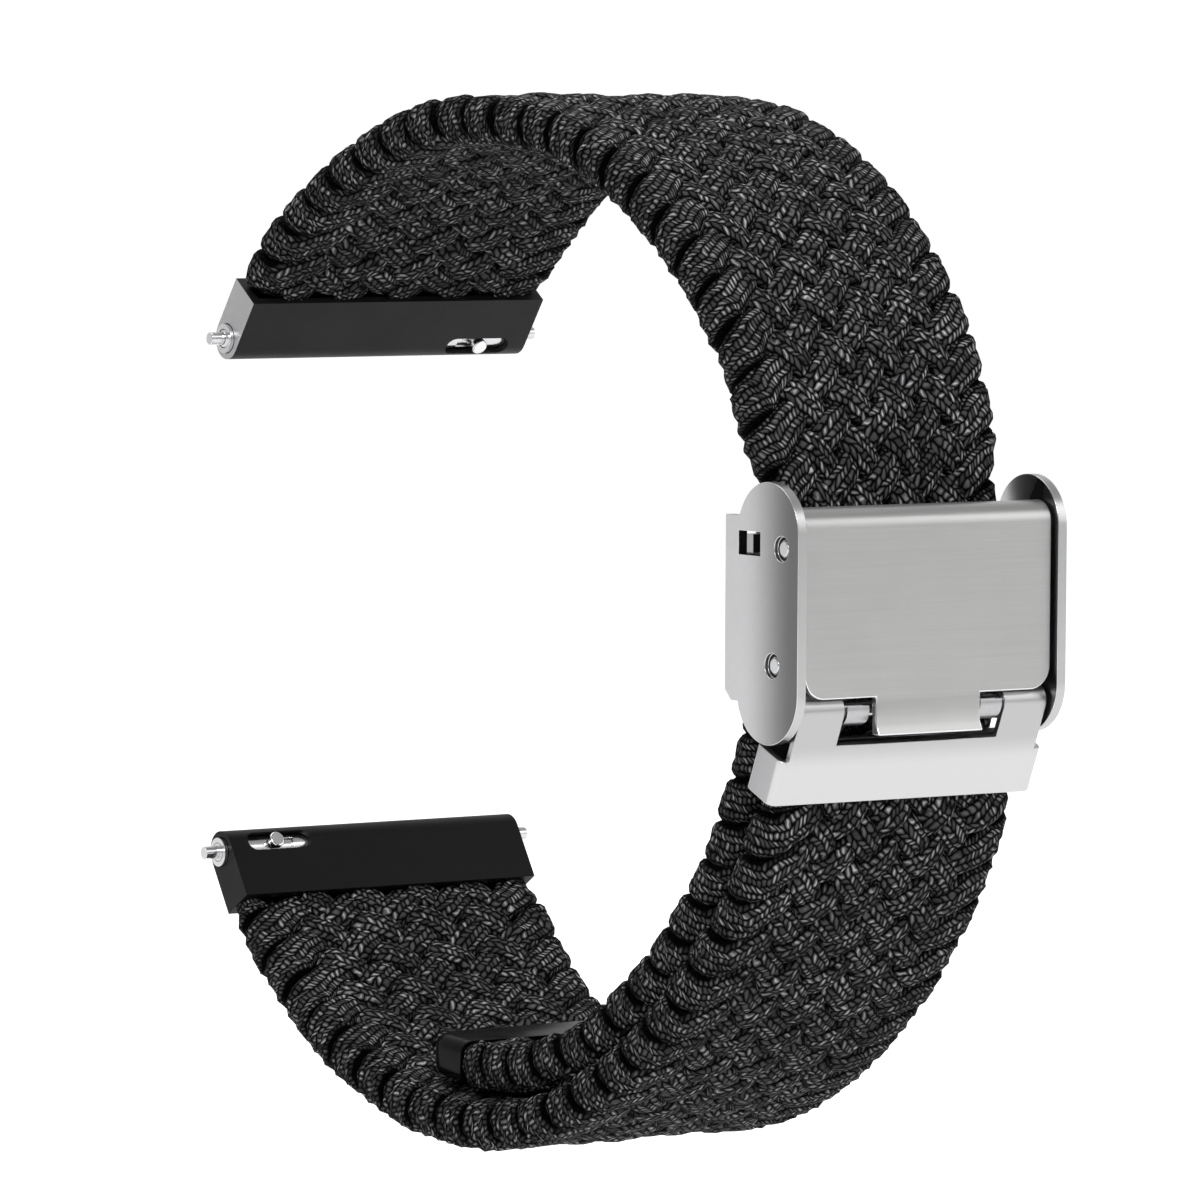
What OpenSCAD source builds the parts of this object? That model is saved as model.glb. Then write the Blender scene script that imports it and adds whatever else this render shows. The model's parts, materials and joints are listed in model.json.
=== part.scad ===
// Braided watch band, closed as it is worn, with a folding slide clasp.
// X runs along the width of the band, Y from the clasp back to the watch, Z up.
// The origin lies midway between the two spring bars that carry the watch.

/* [Band] */
// Gap between the watch lugs
lug_w = 22; // [20:0.5:24]
// Side clearance between an end piece and a lug
lug_gap = 0.3; // [0.1:0.05:0.6]
// Band width beside the end pieces
band_w = 22; // [18:0.5:24]
// Band width just above the clasp
band_w_clasp = 17.2; // [16.4:0.1:17.6]
// Width of the tail below the clasp
band_w_tail = 16.6; // [14:0.1:17.4]
// Band thickness
band_t = 3; // [2.4:0.1:3.4]
// Band thickness squeezed inside the clasp
band_t_pass = 2.4; // [1.8:0.1:2.6]
// Number of cords in the braid, an even number
cord_count = 10; // [8:2:12]
// Thickness of a cord where it turns round the band's edge
cord_t = 1.6; // [1.4:0.05:1.8]
// Distance along the band from one cord to the next
braid_pitch = 2.9; // [2.6:0.05:3.2]
// Depth of the hollows among four crossing cords
hollow_depth = 0.5; // [0.2:0.05:0.7]
// Depth of the notches between the cords at the band's edges
notch_depth = 0.35; // [0.1:0.05:0.5]
// Length over which the band spreads again above the clasp
spread_len = 2.5; // [2:0.1:4]
// Length over which the tail spreads again below the clasp
tail_spread_len = 6; // [4:0.1:8]
// Length over which the lower band spreads below the bracket
held_spread_len = 1.6; // [1.2:0.1:3]
// Length over which the band thins into an end piece
end_taper_len = 1.5; // [1:0.1:2.5]
// Length over which the tail thins into its cap
cap_taper_len = 0.8; // [0.5:0.1:1.5]

/* [Band run] */
// Radius of the upper band nearest the clasp
upper_r1 = 24; // [18:0.5:32]
// Turn of the upper band nearest the clasp, degrees
upper_a1 = 31; // [25:1:36]
// Radius over the top
upper_r2 = 30; // [24:0.5:36]
// Turn over the top, degrees
upper_a2 = 58; // [50:1:64]
// Radius of the upper band towards the watch
upper_r3 = 34; // [26:0.5:42]
// Turn of the upper band towards the watch, degrees
upper_a3 = 34; // [28:1:40]
// Radius of the lower band nearest the clasp
lower_r1 = 38; // [32:0.5:48]
// Turn of the lower band nearest the clasp, degrees
lower_a1 = 42; // [34:1:48]
// Radius at the bottom
lower_r2 = 28.5; // [24:0.5:34]
// Turn at the bottom, degrees
lower_a2 = 39; // [32:1:46]
// Radius of the lower band towards the watch
lower_r3 = 30.5; // [24:0.5:38]
// Turn of the lower band towards the watch, degrees
lower_a3 = 34; // [28:1:40]
// Radius of the last bend beside each end piece
end_bend_r = 8; // [6:0.5:12]
// Turn of the last bend beside each end piece, degrees
end_bend_a = 9; // [0:1:14]

/* [Tail] */
// Length of the free tail below the clasp, cap included
tail_len = 44; // [30:1:56]
// Gap between the tail and the band that it lies behind
tail_gap = 0.3; // [0.2:0.05:0.6]
// Bend radius where the tail leaves the clasp
tail_bend_r = 6; // [4.5:0.5:8]
// Length of the tail cap
cap_len = 4; // [3:0.25:6]
// Width of the tail cap
cap_w = 16; // [15.4:0.1:17]
// Thickness of the tail cap
cap_t = 2.6; // [2.3:0.1:3]
// Corner radius of the tail cap
cap_r = 1.8; // [0.8:0.1:3]

/* [End pieces] */
// Length of an end piece along the band
end_len = 5; // [4.6:0.1:7]
// Thickness of an end piece
end_t = 2.6; // [2.4:0.1:3.2]
// Depth of the pocket that takes the band
pocket_depth = 1.5; // [0.8:0.1:1.6]
// Height of the pocket
pocket_t = 1.5; // [1.1:0.1:1.7]
// Wall left beside the pocket
pocket_wall = 0.6; // [0.4:0.1:1.2]
// Width of the release slot
slot_w = 1.3; // [1.1:0.05:1.6]
// Distance from the end face to the release slot
slot_start = 1.3; // [0.8:0.1:2]
// Length of the release slot
slot_len = 4.6; // [4:0.1:6]

/* [Spring bars] */
// Outer radius of a bar tube
tube_r = 0.9; // [0.85:0.05:0.95]
// Wall of a bar tube
tube_wall = 0.15; // [0.12:0.01:0.17]
// Radius of a bar tip
tip_r = 0.4; // [0.35:0.01:0.42]
// Step from a tip up to its neck in the tube's closed end
neck_step = 0.16; // [0.16:0.01:0.19]
// Length that a bar tip stands out of its tube
tip_len = 1; // [0.7:0.05:1.4]
// Clearance between a tube's end and its lug
tube_gap = 0.05; // [0.02:0.01:0.15]
// Thickness of the closed end of a tube
tube_end = 0.4; // [0.25:0.05:0.6]
// Length of the head inside the fixed end
fixed_head_len = 1; // [0.6:0.1:2]
// Length of the head inside the sprung end
sprung_head_len = 4.2; // [4:0.1:6]
// Distance from the end piece's face to the release knob
knob_in = 3.4; // [3:0.1:3.8]
// Radius of the release knob
knob_r = 0.5; // [0.4:0.05:0.52]
// Height of the release knob
knob_h = 0.45; // [0.3:0.05:0.8]
// Radius of the knob's stem
stem_r = 0.28; // [0.2:0.02:0.34]
// Length that the tip travels back on release
release_travel = 1.1; // [0.8:0.05:1.2]
// Wall of the bar spring
spring_wall = 0.17; // [0.1:0.01:0.22]

/* [Clasp frame] */
// Outside width of the clasp
clasp_w = 18.8; // [18.6:0.1:20]
// Height of the cheeks
clasp_h = 14.8; // [14.4:0.1:16]
// Thickness of a cheek
cheek_t = 0.6; // [0.4:0.05:0.7]
// Distance from the band's middle to the front edge of the cheeks
clasp_front = 5.2; // [5:0.1:5.6]
// Distance from the band's middle to the back edge of the oval cheek
cheek_back = 0.7; // [0.5:0.1:1]
// Distance from the band's middle to the back edge of the wing
wing_back = 1.9; // [1.9:0.05:2.2]
// Top of the wing above the clasp's middle
wing_top = 5.4; // [5:0.1:6]
// Bottom of the wing below the clasp's middle
wing_bottom = 5.1; // [4.8:0.1:5.6]
// Chamfer on the wing's lower corner
wing_chamfer = 0.6; // [0.3:0.1:0.6]
// Thickness of the bridges between the cheeks
bridge_t = 0.4; // [0.3:0.05:0.45]
// Gap between the band and the metal that it runs through
pass_gap = 0.15; // [0.1:0.01:0.2]
// Height of the front bridge's top edge
front_bridge_top = 2.1; // [1:0.1:2.2]
// Depth of the front bridge's bottom edge below the clasp's middle
front_bridge_bottom = 3.2; // [2.5:0.1:3.4]
// Height of the rear bridge
rear_bridge_h = 0.75; // [0.5:0.05:0.8]

/* [Pins] */
// Radius of the two cross pins
pin_r = 0.45; // [0.35:0.05:0.5]
// Distance of the lid pin in front of the band's middle
lid_pin_front = 3.6; // [3.5:0.05:3.8]
// Height of the lid pin above the clasp's middle
lid_pin_up = 3.7; // [3.6:0.05:4]
// Distance of the hook pin in front of the band's middle
hook_pin_front = 2.75; // [2.7:0.05:3]
// Depth of the hook pin below the clasp's middle
hook_pin_down = 2.9; // [2.6:0.05:3.2]
// Radius of the sunk ring round each pin end
sink_r = 0.72; // [0.6:0.02:0.8]
// Depth of the sunk ring
sink_depth = 0.25; // [0.1:0.05:0.3]
// Radial clearance of a turning fit
run_fit = 0.04; // [0.02:0.01:0.08]
// Radial clearance of a fixed fit
set_fit = 0.01; // [0.01:0.005:0.02]
// Side clearance between moving pieces
side_gap = 0.2; // [0.1:0.02:0.24]

/* [Lid] */
// Thickness of the lid
lid_t = 0.45; // [0.35:0.05:0.5]
// Distance of the lid's face behind the cheeks' front edge
lid_inset = 0.4; // [0.2:0.05:0.5]
// Radius of the curl at the lid's top
curl_r = 1.2; // [1:0.05:1.22]
// Height of the lid's top above the clasp's middle
lid_top = 6; // [5.7:0.05:6]
// Depth of the lid's lower edge below the clasp's middle
lid_bottom = 4.75; // [4.4:0.05:4.8]
// Width of the lid's middle tongue
tongue_w = 7.3; // [5:0.1:7.4]
// Depth of the tongue's lower edge below the clasp's middle
tongue_bottom = 6.9; // [6.4:0.05:7]
// Length that the tongue's lip stands forward
lip_out = 0.3; // [0.1:0.05:0.5]
// Chamfer on the lid's lower corners
lid_chamfer = 0.8; // [0.3:0.1:1.5]
// Radius of the lid's ears round the pin
lid_ear_r = 0.95; // [0.8:0.05:1]
// Width of the lid's ears
lid_ear_w = 0.6; // [0.4:0.05:1]

/* [Lock plate] */
// Thickness of the lock plate
lock_t = 0.45; // [0.35:0.05:0.5]
// Top edge of the lock plate above the clasp's middle
lock_top = 3.1; // [2.8:0.05:3.2]
// Bottom edge of the lock plate below the clasp's middle
lock_bottom = 3.4; // [2.6:0.1:3.5]
// Width of the lock plate's ears
lock_ear_w = 0.45; // [0.35:0.05:0.5]
// Side clearance between the lock plate's ears and the band
ear_gap = 0.15; // [0.1:0.05:0.6]
// Radius of the lock plate's ears round the tab
lock_ear_r = 0.75; // [0.65:0.05:0.8]
// Distance of the lock plate's hinge in front of the band's middle
lock_front = 0.45; // [0.3:0.05:0.6]
// Height of the lock plate's hinge above the clasp's middle
lock_up = 3.87; // [3.7:0.01:4]
// Depth of the window in the cheek
window_d = 2.1; // [1.6:0.05:2.2]
// Height of the window in the cheek
window_h = 1.35; // [1.3:0.05:1.5]
// Depth of the hinge tab in the window
tab_d = 0.6; // [0.4:0.05:0.65]
// Height of the hinge tab in the window
tab_h = 1.05; // [0.8:0.05:1.1]

/* [Hook and bracket] */
// Radius of the bar that the hooks hold
bar_r = 0.5; // [0.4:0.05:0.55]
// Wall of the hooks
hook_wall = 0.4; // [0.3:0.05:0.5]
// Width of each hook
hook_w = 1.5; // [1:0.1:1.6]
// Distance from the band's middle line to the inner side of a hook
hook_in = 3.9; // [3.8:0.05:4]
// Backward lean of the bracket, degrees
lean = 23; // [20:0.5:25]
// Height of the bracket along its face
bracket_h = 6.45; // [6.2:0.05:6.8]
// Outside depth of the bracket
bracket_d = 2.6; // [2.5:0.05:2.8]
// Sheet thickness of the bracket
sheet_t = 0.4; // [0.3:0.05:0.45]
// Radius of the knuckles round the bar
knuckle_r = 0.95; // [0.85:0.05:1]
// Distance of the bracket's sides inside the clasp's sides
bracket_in = 0.2; // [0:0.05:0.4]
// Height of the bracket's side walls
wall_h = 2.8; // [2:0.1:2.9]
// Height of the front plate between the arms
plate_h = 3.7; // [3.2:0.1:3.8]
// Length of the band held in the bracket
held_len = 3.2; // [2:0.1:3.4]
// Side clearance of the band held in the bracket
held_gap = 0.5; // [0.4:0.05:1.5]
// Height of the back plate
back_plate_h = 2.9; // [2:0.1:3]

/* [Hidden] */
$fn = 40;
eps = 0.05;

// Length of band that lies straight above the clasp's middle, then bends back
upper_straight = 4.6;
upper_lead_r = 9;
upper_lead_a = 12;
corner_steps = 2;
// Least distance between two sections of the band
row_gap = 0.3;

inner_x = clasp_w / 2 - cheek_t;
lid_x = inner_x - side_gap;
lid_face = -(clasp_front - lid_inset);
pass_y = band_t_pass / 2 + pass_gap;
band_w_pass = 2 * (lid_x - lock_ear_w - ear_gap);

// Bracket: its lower front edge, found from its top that lies flush with the lid
bracket_top = lid_bottom + side_gap;
bracket_y = lid_face + bracket_h * sin(lean);
bracket_z = -bracket_top - bracket_h * cos(lean);
bar_u = bracket_h - knuckle_r;
function from_bracket(inward, up) =
    [bracket_y + inward * cos(lean) - up * sin(lean), bracket_z + inward * sin(lean) + up * cos(lean)];
bar_at = from_bracket(knuckle_r, bar_u);
held_t = bracket_d - 2 * sheet_t - 2 * eps;
bracket_w = clasp_w - 2 * bracket_in;
held_w = bracket_w - 2 * sheet_t - 2 * held_gap;

// Tail: it lies behind the lower band and runs up into the clasp
lower_at = from_bracket(bracket_d / 2, 0);
tail_off = band_t + tail_gap;
tail_line = from_bracket(bracket_d / 2 + tail_off, 0);
tail_rise = tail_line[0] / sin(lean);
tail_cross = tail_line[1] + tail_rise * cos(lean);
tail_tangent = tail_bend_r * tan(lean / 2);

// A run is a list of [radius, turn], or [length, 0] where it is straight
upper_run = [[upper_straight, 0], [upper_lead_r, -upper_lead_a], [upper_r1, -upper_a1],
    [upper_r2, -upper_a2], [upper_r3, -upper_a3], [end_bend_r, -end_bend_a]];
lower_run = [[held_len, 0], [lower_r1, lower_a1], [lower_r2, lower_a2], [lower_r3, lower_a3],
    [end_bend_r, end_bend_a]];
tail_run = [[-tail_cross - tail_tangent, 0], [tail_bend_r, lean], [tail_rise - tail_tangent, 0],
    [lower_r1 - tail_off, lower_a1], [lower_r2 - tail_off, lower_a2], [lower_r3 - tail_off, lower_a3]];
upper_start = [0, 0, 90];
tail_start = [0, 0, -90];
lower_start = concat(from_bracket(bracket_d / 2, held_len), lean - 90);

function part_len(part) = part[1] == 0 ? part[0] : part[0] * abs(part[1]) * PI / 180;
function run_len(run, i = 0) = i == len(run) ? 0 : part_len(run[i]) + run_len(run, i + 1);
function along(p, part, d) = part[1] == 0
    ? [p[0] + d * cos(p[2]), p[1] + d * sin(p[2]), p[2]]
    : let (r = part[0] * sign(part[1]), h = p[2] + d / r * 180 / PI)
        [p[0] + r * (sin(h) - sin(p[2])), p[1] - r * (cos(h) - cos(p[2])), h];
function run_at(p, run, d, i = 0) = i == len(run) - 1 || d <= part_len(run[i])
    ? along(p, run[i], d)
    : run_at(along(p, run[i], part_len(run[i])), run, d - part_len(run[i]), i + 1);

upper_len = run_len(upper_run);
lower_len = run_len(lower_run);
tail_end = clasp_h / 2 + tail_len - cap_len;
upper_end = run_at(upper_start, upper_run, upper_len);
lower_end = run_at(lower_start, lower_run, lower_len);
cap_at = run_at(tail_start, tail_run, tail_end);
// Past its end the band runs straight on into its pocket
function upper_at(d) = d <= upper_len ? run_at(upper_start, upper_run, d) : along(upper_end, [1, 0], d - upper_len);
function lower_at(d) = d <= lower_len ? run_at(lower_start, lower_run, d) : along(lower_end, [1, 0], d - lower_len);
function tail_at(d) = d <= tail_end ? run_at(tail_start, tail_run, d) : along(cap_at, [1, 0], d - tail_end);

// Spring bar axes, and the shift that puts the origin midway between them
bar_in = end_len - end_t / 2;
upper_bar = along(upper_end, [1, 0], bar_in);
lower_bar = along(lower_end, [1, 0], bar_in);
origin_y = (upper_bar[0] + lower_bar[0]) / 2;
origin_z = (upper_bar[1] + lower_bar[1]) / 2;

end_w = lug_w - 2 * lug_gap;
tube_len = lug_w - 2 * tube_gap;
bore_r = tube_r - tube_wall;
head_r = bore_r - run_fit;
neck_r = tip_r + neck_step;
knob_x = end_w / 2 - knob_in;
sprung_head_at = tube_len / 2 - tube_end - sprung_head_len;
fixed_head_at = -tube_len / 2 + tube_end + fixed_head_len;
pocket_w = end_w - 2 * pocket_wall;
tongue_t = pocket_t - 2 * eps;
cap_pocket_w = cap_w - 4 * pocket_wall;

// Width and thickness of the band against its distance from the clasp's middle, tail negative
half_clasp = clasp_h / 2;
tongue_w_end = pocket_w - 2 * eps;
cap_step = (band_t + 3 * cap_t) / 4;
upper_w_list = [[-tail_end - pocket_depth, cap_pocket_w], [-tail_end, cap_pocket_w],
    [-tail_end + cap_taper_len, band_w_tail], [-half_clasp - tail_spread_len, band_w_tail],
    [-half_clasp, band_w_pass], [half_clasp, band_w_pass], [half_clasp + spread_len, band_w_clasp],
    [upper_len - end_taper_len, band_w], [upper_len - 4 * eps, band_w], [upper_len, tongue_w_end],
    [upper_len + pocket_depth, tongue_w_end]];
upper_t_list = [[-tail_end - pocket_depth, tongue_t], [-tail_end, tongue_t],
    [-tail_end + cap_taper_len, cap_step], [-tail_end + 3 * cap_taper_len, band_t],
    [-half_clasp - tail_spread_len, band_t], [-half_clasp - spread_len, band_t_pass],
    [half_clasp, band_t_pass], [half_clasp + spread_len, band_t], [upper_len - end_taper_len, band_t],
    [upper_len, tongue_t], [upper_len + pocket_depth, tongue_t]];
lower_w_list = [[0, held_w], [held_len, held_w], [held_len + held_spread_len, band_w_clasp],
    [lower_len - end_taper_len, band_w], [lower_len - 4 * eps, band_w], [lower_len, tongue_w_end],
    [lower_len + pocket_depth, tongue_w_end]];
lower_t_list = [[0, held_t], [held_len, held_t], [held_len + held_spread_len, band_t],
    [lower_len - end_taper_len, band_t], [lower_len, tongue_t], [lower_len + pocket_depth, tongue_t]];

// How much of the braid's relief the band has against the same distance: none where it is held
upper_relief_list = [[-tail_end, 0], [-tail_end + 3 * cap_taper_len, 1], [upper_len - end_taper_len, 1],
    [upper_len, 0]];
lower_relief_list = [[held_len, 0], [held_len + held_spread_len, 1], [lower_len - end_taper_len, 1],
    [lower_len, 0]];

// Flat braid: each cord runs over the face, round an edge and back below, and the cords cross
// at cord_count - 1 places across the band, a row every half pitch, alternate rows set over.
// Place of crossing k, counted from the left edge
function crossing_x(k, w, t) = let (turn_r = (t - cord_t) / 2, flat = w / 2 - t / 2)
    -flat - 90 * turn_r * PI / 180 + k * (2 * flat + turn_r * PI) / cord_count;
// 0 on top of a crossing, 1 in the hollow midway to the next one; m counts half pitches
function hollow(k, m) = 1 - abs(k + m - 2 * floor((k + m) / 2) - 1);
// Section of the band as a closed list of [x, outward] points, share times the full relief
function section(w, t, m, share) = let (r = 0.42 * t, n = corner_steps, low = share * hollow_depth,
        half_w = w / 2 - share * notch_depth * hollow(0, m), half_t = t / 2 - low / 2)
    [for (c = [[1, 1, 0], [-1, 1, 90], [-1, -1, 180], [1, -1, 270]]) each concat(
        [for (k = [0 : n]) [c[0] * (half_w - r) + r * cos(c[2] + 90 * k / n),
            c[1] * (half_t - r) + r * sin(c[2] + 90 * k / n)]],
        c[0] != c[1] ? [] : [for (k = [1 : cord_count - 1]) [-c[1] * crossing_x(k, w, t),
            c[1] * (t / 2 - low * hollow(k, m))]])];
// The section set at a point of a run; side is 1 where the outer face lies left of the heading
function ring(p, side, w, t, m, share) = [for (q = section(w, t, m, share))
    [q[0], p[0] - side * sin(p[2]) * q[1], p[1] + side * cos(p[2]) * q[1]]];

// Skin over the rings; each quad is split along its lower diagonal, so that crossings stand up
module sweep(rings) {
    n = len(rings[0]);
    m = len(rings);
    points = [for (r = rings, p = r) p];
    polyhedron(
        points = points,
        faces = concat(
            [[for (k = [n - 1 : -1 : 0]) k]],
            [[for (k = [0 : n - 1]) (m - 1) * n + k]],
            [for (i = [0 : m - 2], k = [0 : n - 1]) let (q = [i * n + k, i * n + (k + 1) % n,
                (i + 1) * n + (k + 1) % n, (i + 1) * n + k], p = [for (j = q) points[j]],
                first = cross(p[1] - p[0], p[2] - p[0]) * (p[3] - p[0]) < 0)
                each first ? [[q[0], q[1], q[2]], [q[0], q[2], q[3]]] : [[q[1], q[2], q[3]], [q[1], q[3], q[0]]]]),
        convexity = 6);
}

// Sections along a run from a to b: each row of crossings, and the list's own stations
function stations(a, b, list) = let (row = braid_pitch / 2,
        own = concat([a, b], [for (s = list) if (s[0] > a + row_gap && s[0] < b - row_gap) s[0]]))
    sorted(concat(own, [for (m = [ceil(a / row) : floor(b / row)])
        if (min([for (s = own) abs(s - m * row)]) > row_gap) m * row]));
function sorted(v) = len(v) < 2 ? v : let (pivot = v[floor(len(v) / 2)])
    concat(sorted([for (x = v) if (x < pivot - eps) x]), [pivot], sorted([for (x = v) if (x > pivot + eps) x]));

module worn() {
    translate([0, -origin_y, -origin_z]) children();
}
// Draws a Y-Z outline and gives it thickness from x0 to x1
module across(x0, x1) {
    translate([x0, 0, 0]) rotate([90, 0, 90]) linear_extrude(x1 - x0) children();
}
module rod(x0, x1, r) {
    translate([x0, 0, 0]) rotate([0, 90, 0]) cylinder(h = x1 - x0, r = r);
}
module both_sides() {
    children();
    mirror([1, 0, 0]) children();
}
module at_point(p) {
    worn() translate([0, p[0], p[1]]) rotate([p[2], 0, 0]) children();
}
module upper_place() {
    at_point(upper_end) children();
}
module lower_place() {
    at_point(lower_end) rotate([0, 180, 0]) children();
}
module bracket_place() {
    worn() translate([0, bracket_y, bracket_z]) rotate([lean, 0, 0]) children();
}

// Band
module upper_strap() {
    stops = stations(-tail_end - pocket_depth + eps, upper_len + pocket_depth - eps, upper_t_list);
    color([0.1, 0.1, 0.11]) worn() sweep([for (d = stops)
        ring(d < 0 ? tail_at(-d) : upper_at(d), d < 0 ? -1 : 1, lookup(d, upper_w_list),
            lookup(d, upper_t_list), 2 * d / braid_pitch, lookup(d, upper_relief_list))]);
}
module lower_strap() {
    stops = stations(0, lower_len + pocket_depth - eps, lower_t_list);
    color([0.1, 0.1, 0.11]) worn() sweep([for (k = [len(stops) - 1 : -1 : 0])
        ring(lower_at(stops[k]), -1, lookup(stops[k], lower_w_list), lookup(stops[k], lower_t_list),
            2 * stops[k] / braid_pitch, lookup(stops[k], lower_relief_list))]);
}
module tail_tip() {
    color([0.06, 0.06, 0.07]) at_point(cap_at) difference() {
        translate([0, 0, -cap_t / 2]) linear_extrude(cap_t) {
            translate([-cap_w / 2, 0]) square([cap_w, cap_len - cap_r]);
            translate([-cap_w / 2 + cap_r, 0]) square([cap_w - 2 * cap_r, cap_len]);
            for (x = [-1, 1]) translate([x * (cap_w / 2 - cap_r), cap_len - cap_r]) circle(cap_r);
        }
        translate([-cap_pocket_w / 2 - eps, -1, -pocket_t / 2]) cube([cap_pocket_w + 2 * eps, pocket_depth + 1, pocket_t]);
    }
}

// End piece: the band enters at Y = 0, the wrist lies below, the sprung tip is at +X
module end_piece() {
    difference() {
        across(-end_w / 2, end_w / 2) {
            translate([0, -end_t / 2]) square([bar_in, end_t]);
            translate([bar_in, 0]) circle(end_t / 2);
        }
        translate([-pocket_w / 2, -1, -pocket_t / 2]) cube([pocket_w, pocket_depth + 1, pocket_t]);
        translate([0, bar_in, 0]) rod(-end_w / 2 - 1, end_w / 2 + 1, tube_r + run_fit);
        release_slot(end_w / 2 - slot_start - slot_len, end_w / 2 - slot_start, slot_w, bar_in);
    }
}
// Slot through the wrist side, with round ends
module release_slot(x0, x1, w, y) {
    translate([0, y, -end_t]) {
        translate([x0 + w / 2, -w / 2, 0]) cube([x1 - x0 - w, w, end_t]);
        for (x = [x0 + w / 2, x1 - w / 2]) translate([x, 0, 0]) cylinder(h = end_t, r = w / 2);
    }
}
module bar_tube() {
    stem_w = 2 * (stem_r + run_fit);
    difference() {
        rod(-tube_len / 2, tube_len / 2, tube_r);
        rod(-tube_len / 2 + tube_end, tube_len / 2 - tube_end, bore_r);
        rod(-tube_len / 2 - 1, tube_len / 2 + 1, neck_r + run_fit);
        translate([knob_x - release_travel - stem_w / 2 - run_fit, -stem_w / 2, -2 * tube_r])
            cube([release_travel + stem_w + 2 * run_fit, stem_w, 2 * tube_r]);
    }
}
module bar_fixed_tip() {
    rod(-tube_len / 2 - tip_len, -tube_len / 2, tip_r);
    rod(-tube_len / 2, -tube_len / 2 + tube_end, neck_r);
    rod(-tube_len / 2 + tube_end, fixed_head_at, head_r);
}
module bar_sprung_tip() {
    difference() {
        union() {
            rod(tube_len / 2, tube_len / 2 + tip_len, tip_r);
            rod(tube_len / 2 - tube_end, tube_len / 2, neck_r);
            rod(sprung_head_at, tube_len / 2 - tube_end, head_r);
        }
        translate([knob_x, 0, -2 * head_r]) cylinder(h = 2 * head_r, r = stem_r + set_fit);
    }
}
module bar_spring() {
    difference() {
        rod(fixed_head_at, sprung_head_at, head_r);
        rod(fixed_head_at - 1, sprung_head_at + 1, head_r - spring_wall);
    }
}
module release_knob() {
    under = tube_r + 2 * run_fit;
    translate([knob_x, 0, -under - knob_h]) cylinder(h = knob_h, r = knob_r);
    translate([knob_x, 0, -under - eps]) cylinder(h = under + eps, r = stem_r);
}
module in_bar() {
    translate([0, bar_in, 0]) children();
}
module upper_end_piece() {
    color([0.16, 0.16, 0.17]) upper_place() end_piece();
}
module lower_end_piece() {
    color([0.12, 0.12, 0.13]) lower_place() end_piece();
}
module upper_bar_tube() {
    color([0.6, 0.6, 0.62]) upper_place() in_bar() bar_tube();
}
module lower_bar_tube() {
    color([0.6, 0.6, 0.62]) lower_place() in_bar() bar_tube();
}
module upper_bar_fixed_tip() {
    color([0.75, 0.75, 0.77]) upper_place() in_bar() bar_fixed_tip();
}
module lower_bar_fixed_tip() {
    color([0.75, 0.75, 0.77]) lower_place() in_bar() bar_fixed_tip();
}
module upper_bar_sprung_tip() {
    color([0.8, 0.8, 0.82]) upper_place() in_bar() bar_sprung_tip();
}
module lower_bar_sprung_tip() {
    color([0.8, 0.8, 0.82]) lower_place() in_bar() bar_sprung_tip();
}
module upper_bar_spring() {
    color([0.5, 0.5, 0.52]) upper_place() in_bar() bar_spring();
}
module lower_bar_spring() {
    color([0.5, 0.5, 0.52]) lower_place() in_bar() bar_spring();
}
module upper_release_knob() {
    color([0.85, 0.85, 0.87]) upper_place() in_bar() release_knob();
}
module lower_release_knob() {
    color([0.85, 0.85, 0.87]) lower_place() in_bar() release_knob();
}

// Clasp frame: two cheeks joined by a front and a rear bridge
cheek_r = (clasp_front + cheek_back) / 2;
cheek_y = (cheek_back - clasp_front) / 2;
module cheek_outline() {
    difference() {
        union() {
            translate([-clasp_front, cheek_r - clasp_h / 2]) square([2 * cheek_r, clasp_h - 2 * cheek_r]);
            for (z = [-1, 1]) translate([cheek_y, z * (clasp_h / 2 - cheek_r)]) circle(cheek_r);
            polygon([[cheek_y, wing_top], [wing_back, wing_top], [wing_back, wing_chamfer - wing_bottom],
                [wing_back - wing_chamfer, -wing_bottom], [cheek_y, -wing_bottom]]);
        }
        translate([-lock_front - window_d / 2, lock_up - window_h / 2]) square([window_d, window_h]);
        translate([-lid_pin_front, lid_pin_up]) circle(pin_r + set_fit);
        translate([-hook_pin_front, -hook_pin_down]) circle(pin_r + set_fit);
    }
}
module clasp_frame() {
    color([0.72, 0.72, 0.73]) worn() {
        both_sides() difference() {
            across(inner_x, clasp_w / 2) cheek_outline();
            for (p = [[-lid_pin_front, lid_pin_up], [-hook_pin_front, -hook_pin_down]])
                translate([0, p[0], p[1]]) rod(clasp_w / 2 - sink_depth, clasp_w / 2 + 1, sink_r);
        }
        translate([-inner_x - eps, -pass_y - bridge_t, -front_bridge_bottom])
            cube([2 * (inner_x + eps), bridge_t, front_bridge_top + front_bridge_bottom]);
        translate([-inner_x - eps, wing_back - bridge_t, wing_chamfer - wing_bottom])
            cube([2 * (inner_x + eps), bridge_t, rear_bridge_h]);
    }
}
module cross_pin() {
    rod(-clasp_w / 2 + sink_depth / 2, clasp_w / 2 - sink_depth / 2, pin_r);
}
module lid_pin() {
    color([0.85, 0.85, 0.86]) worn() translate([0, -lid_pin_front, lid_pin_up]) cross_pin();
}
module hook_pin() {
    color([0.85, 0.85, 0.86]) worn() translate([0, -hook_pin_front, -hook_pin_down]) cross_pin();
}

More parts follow.
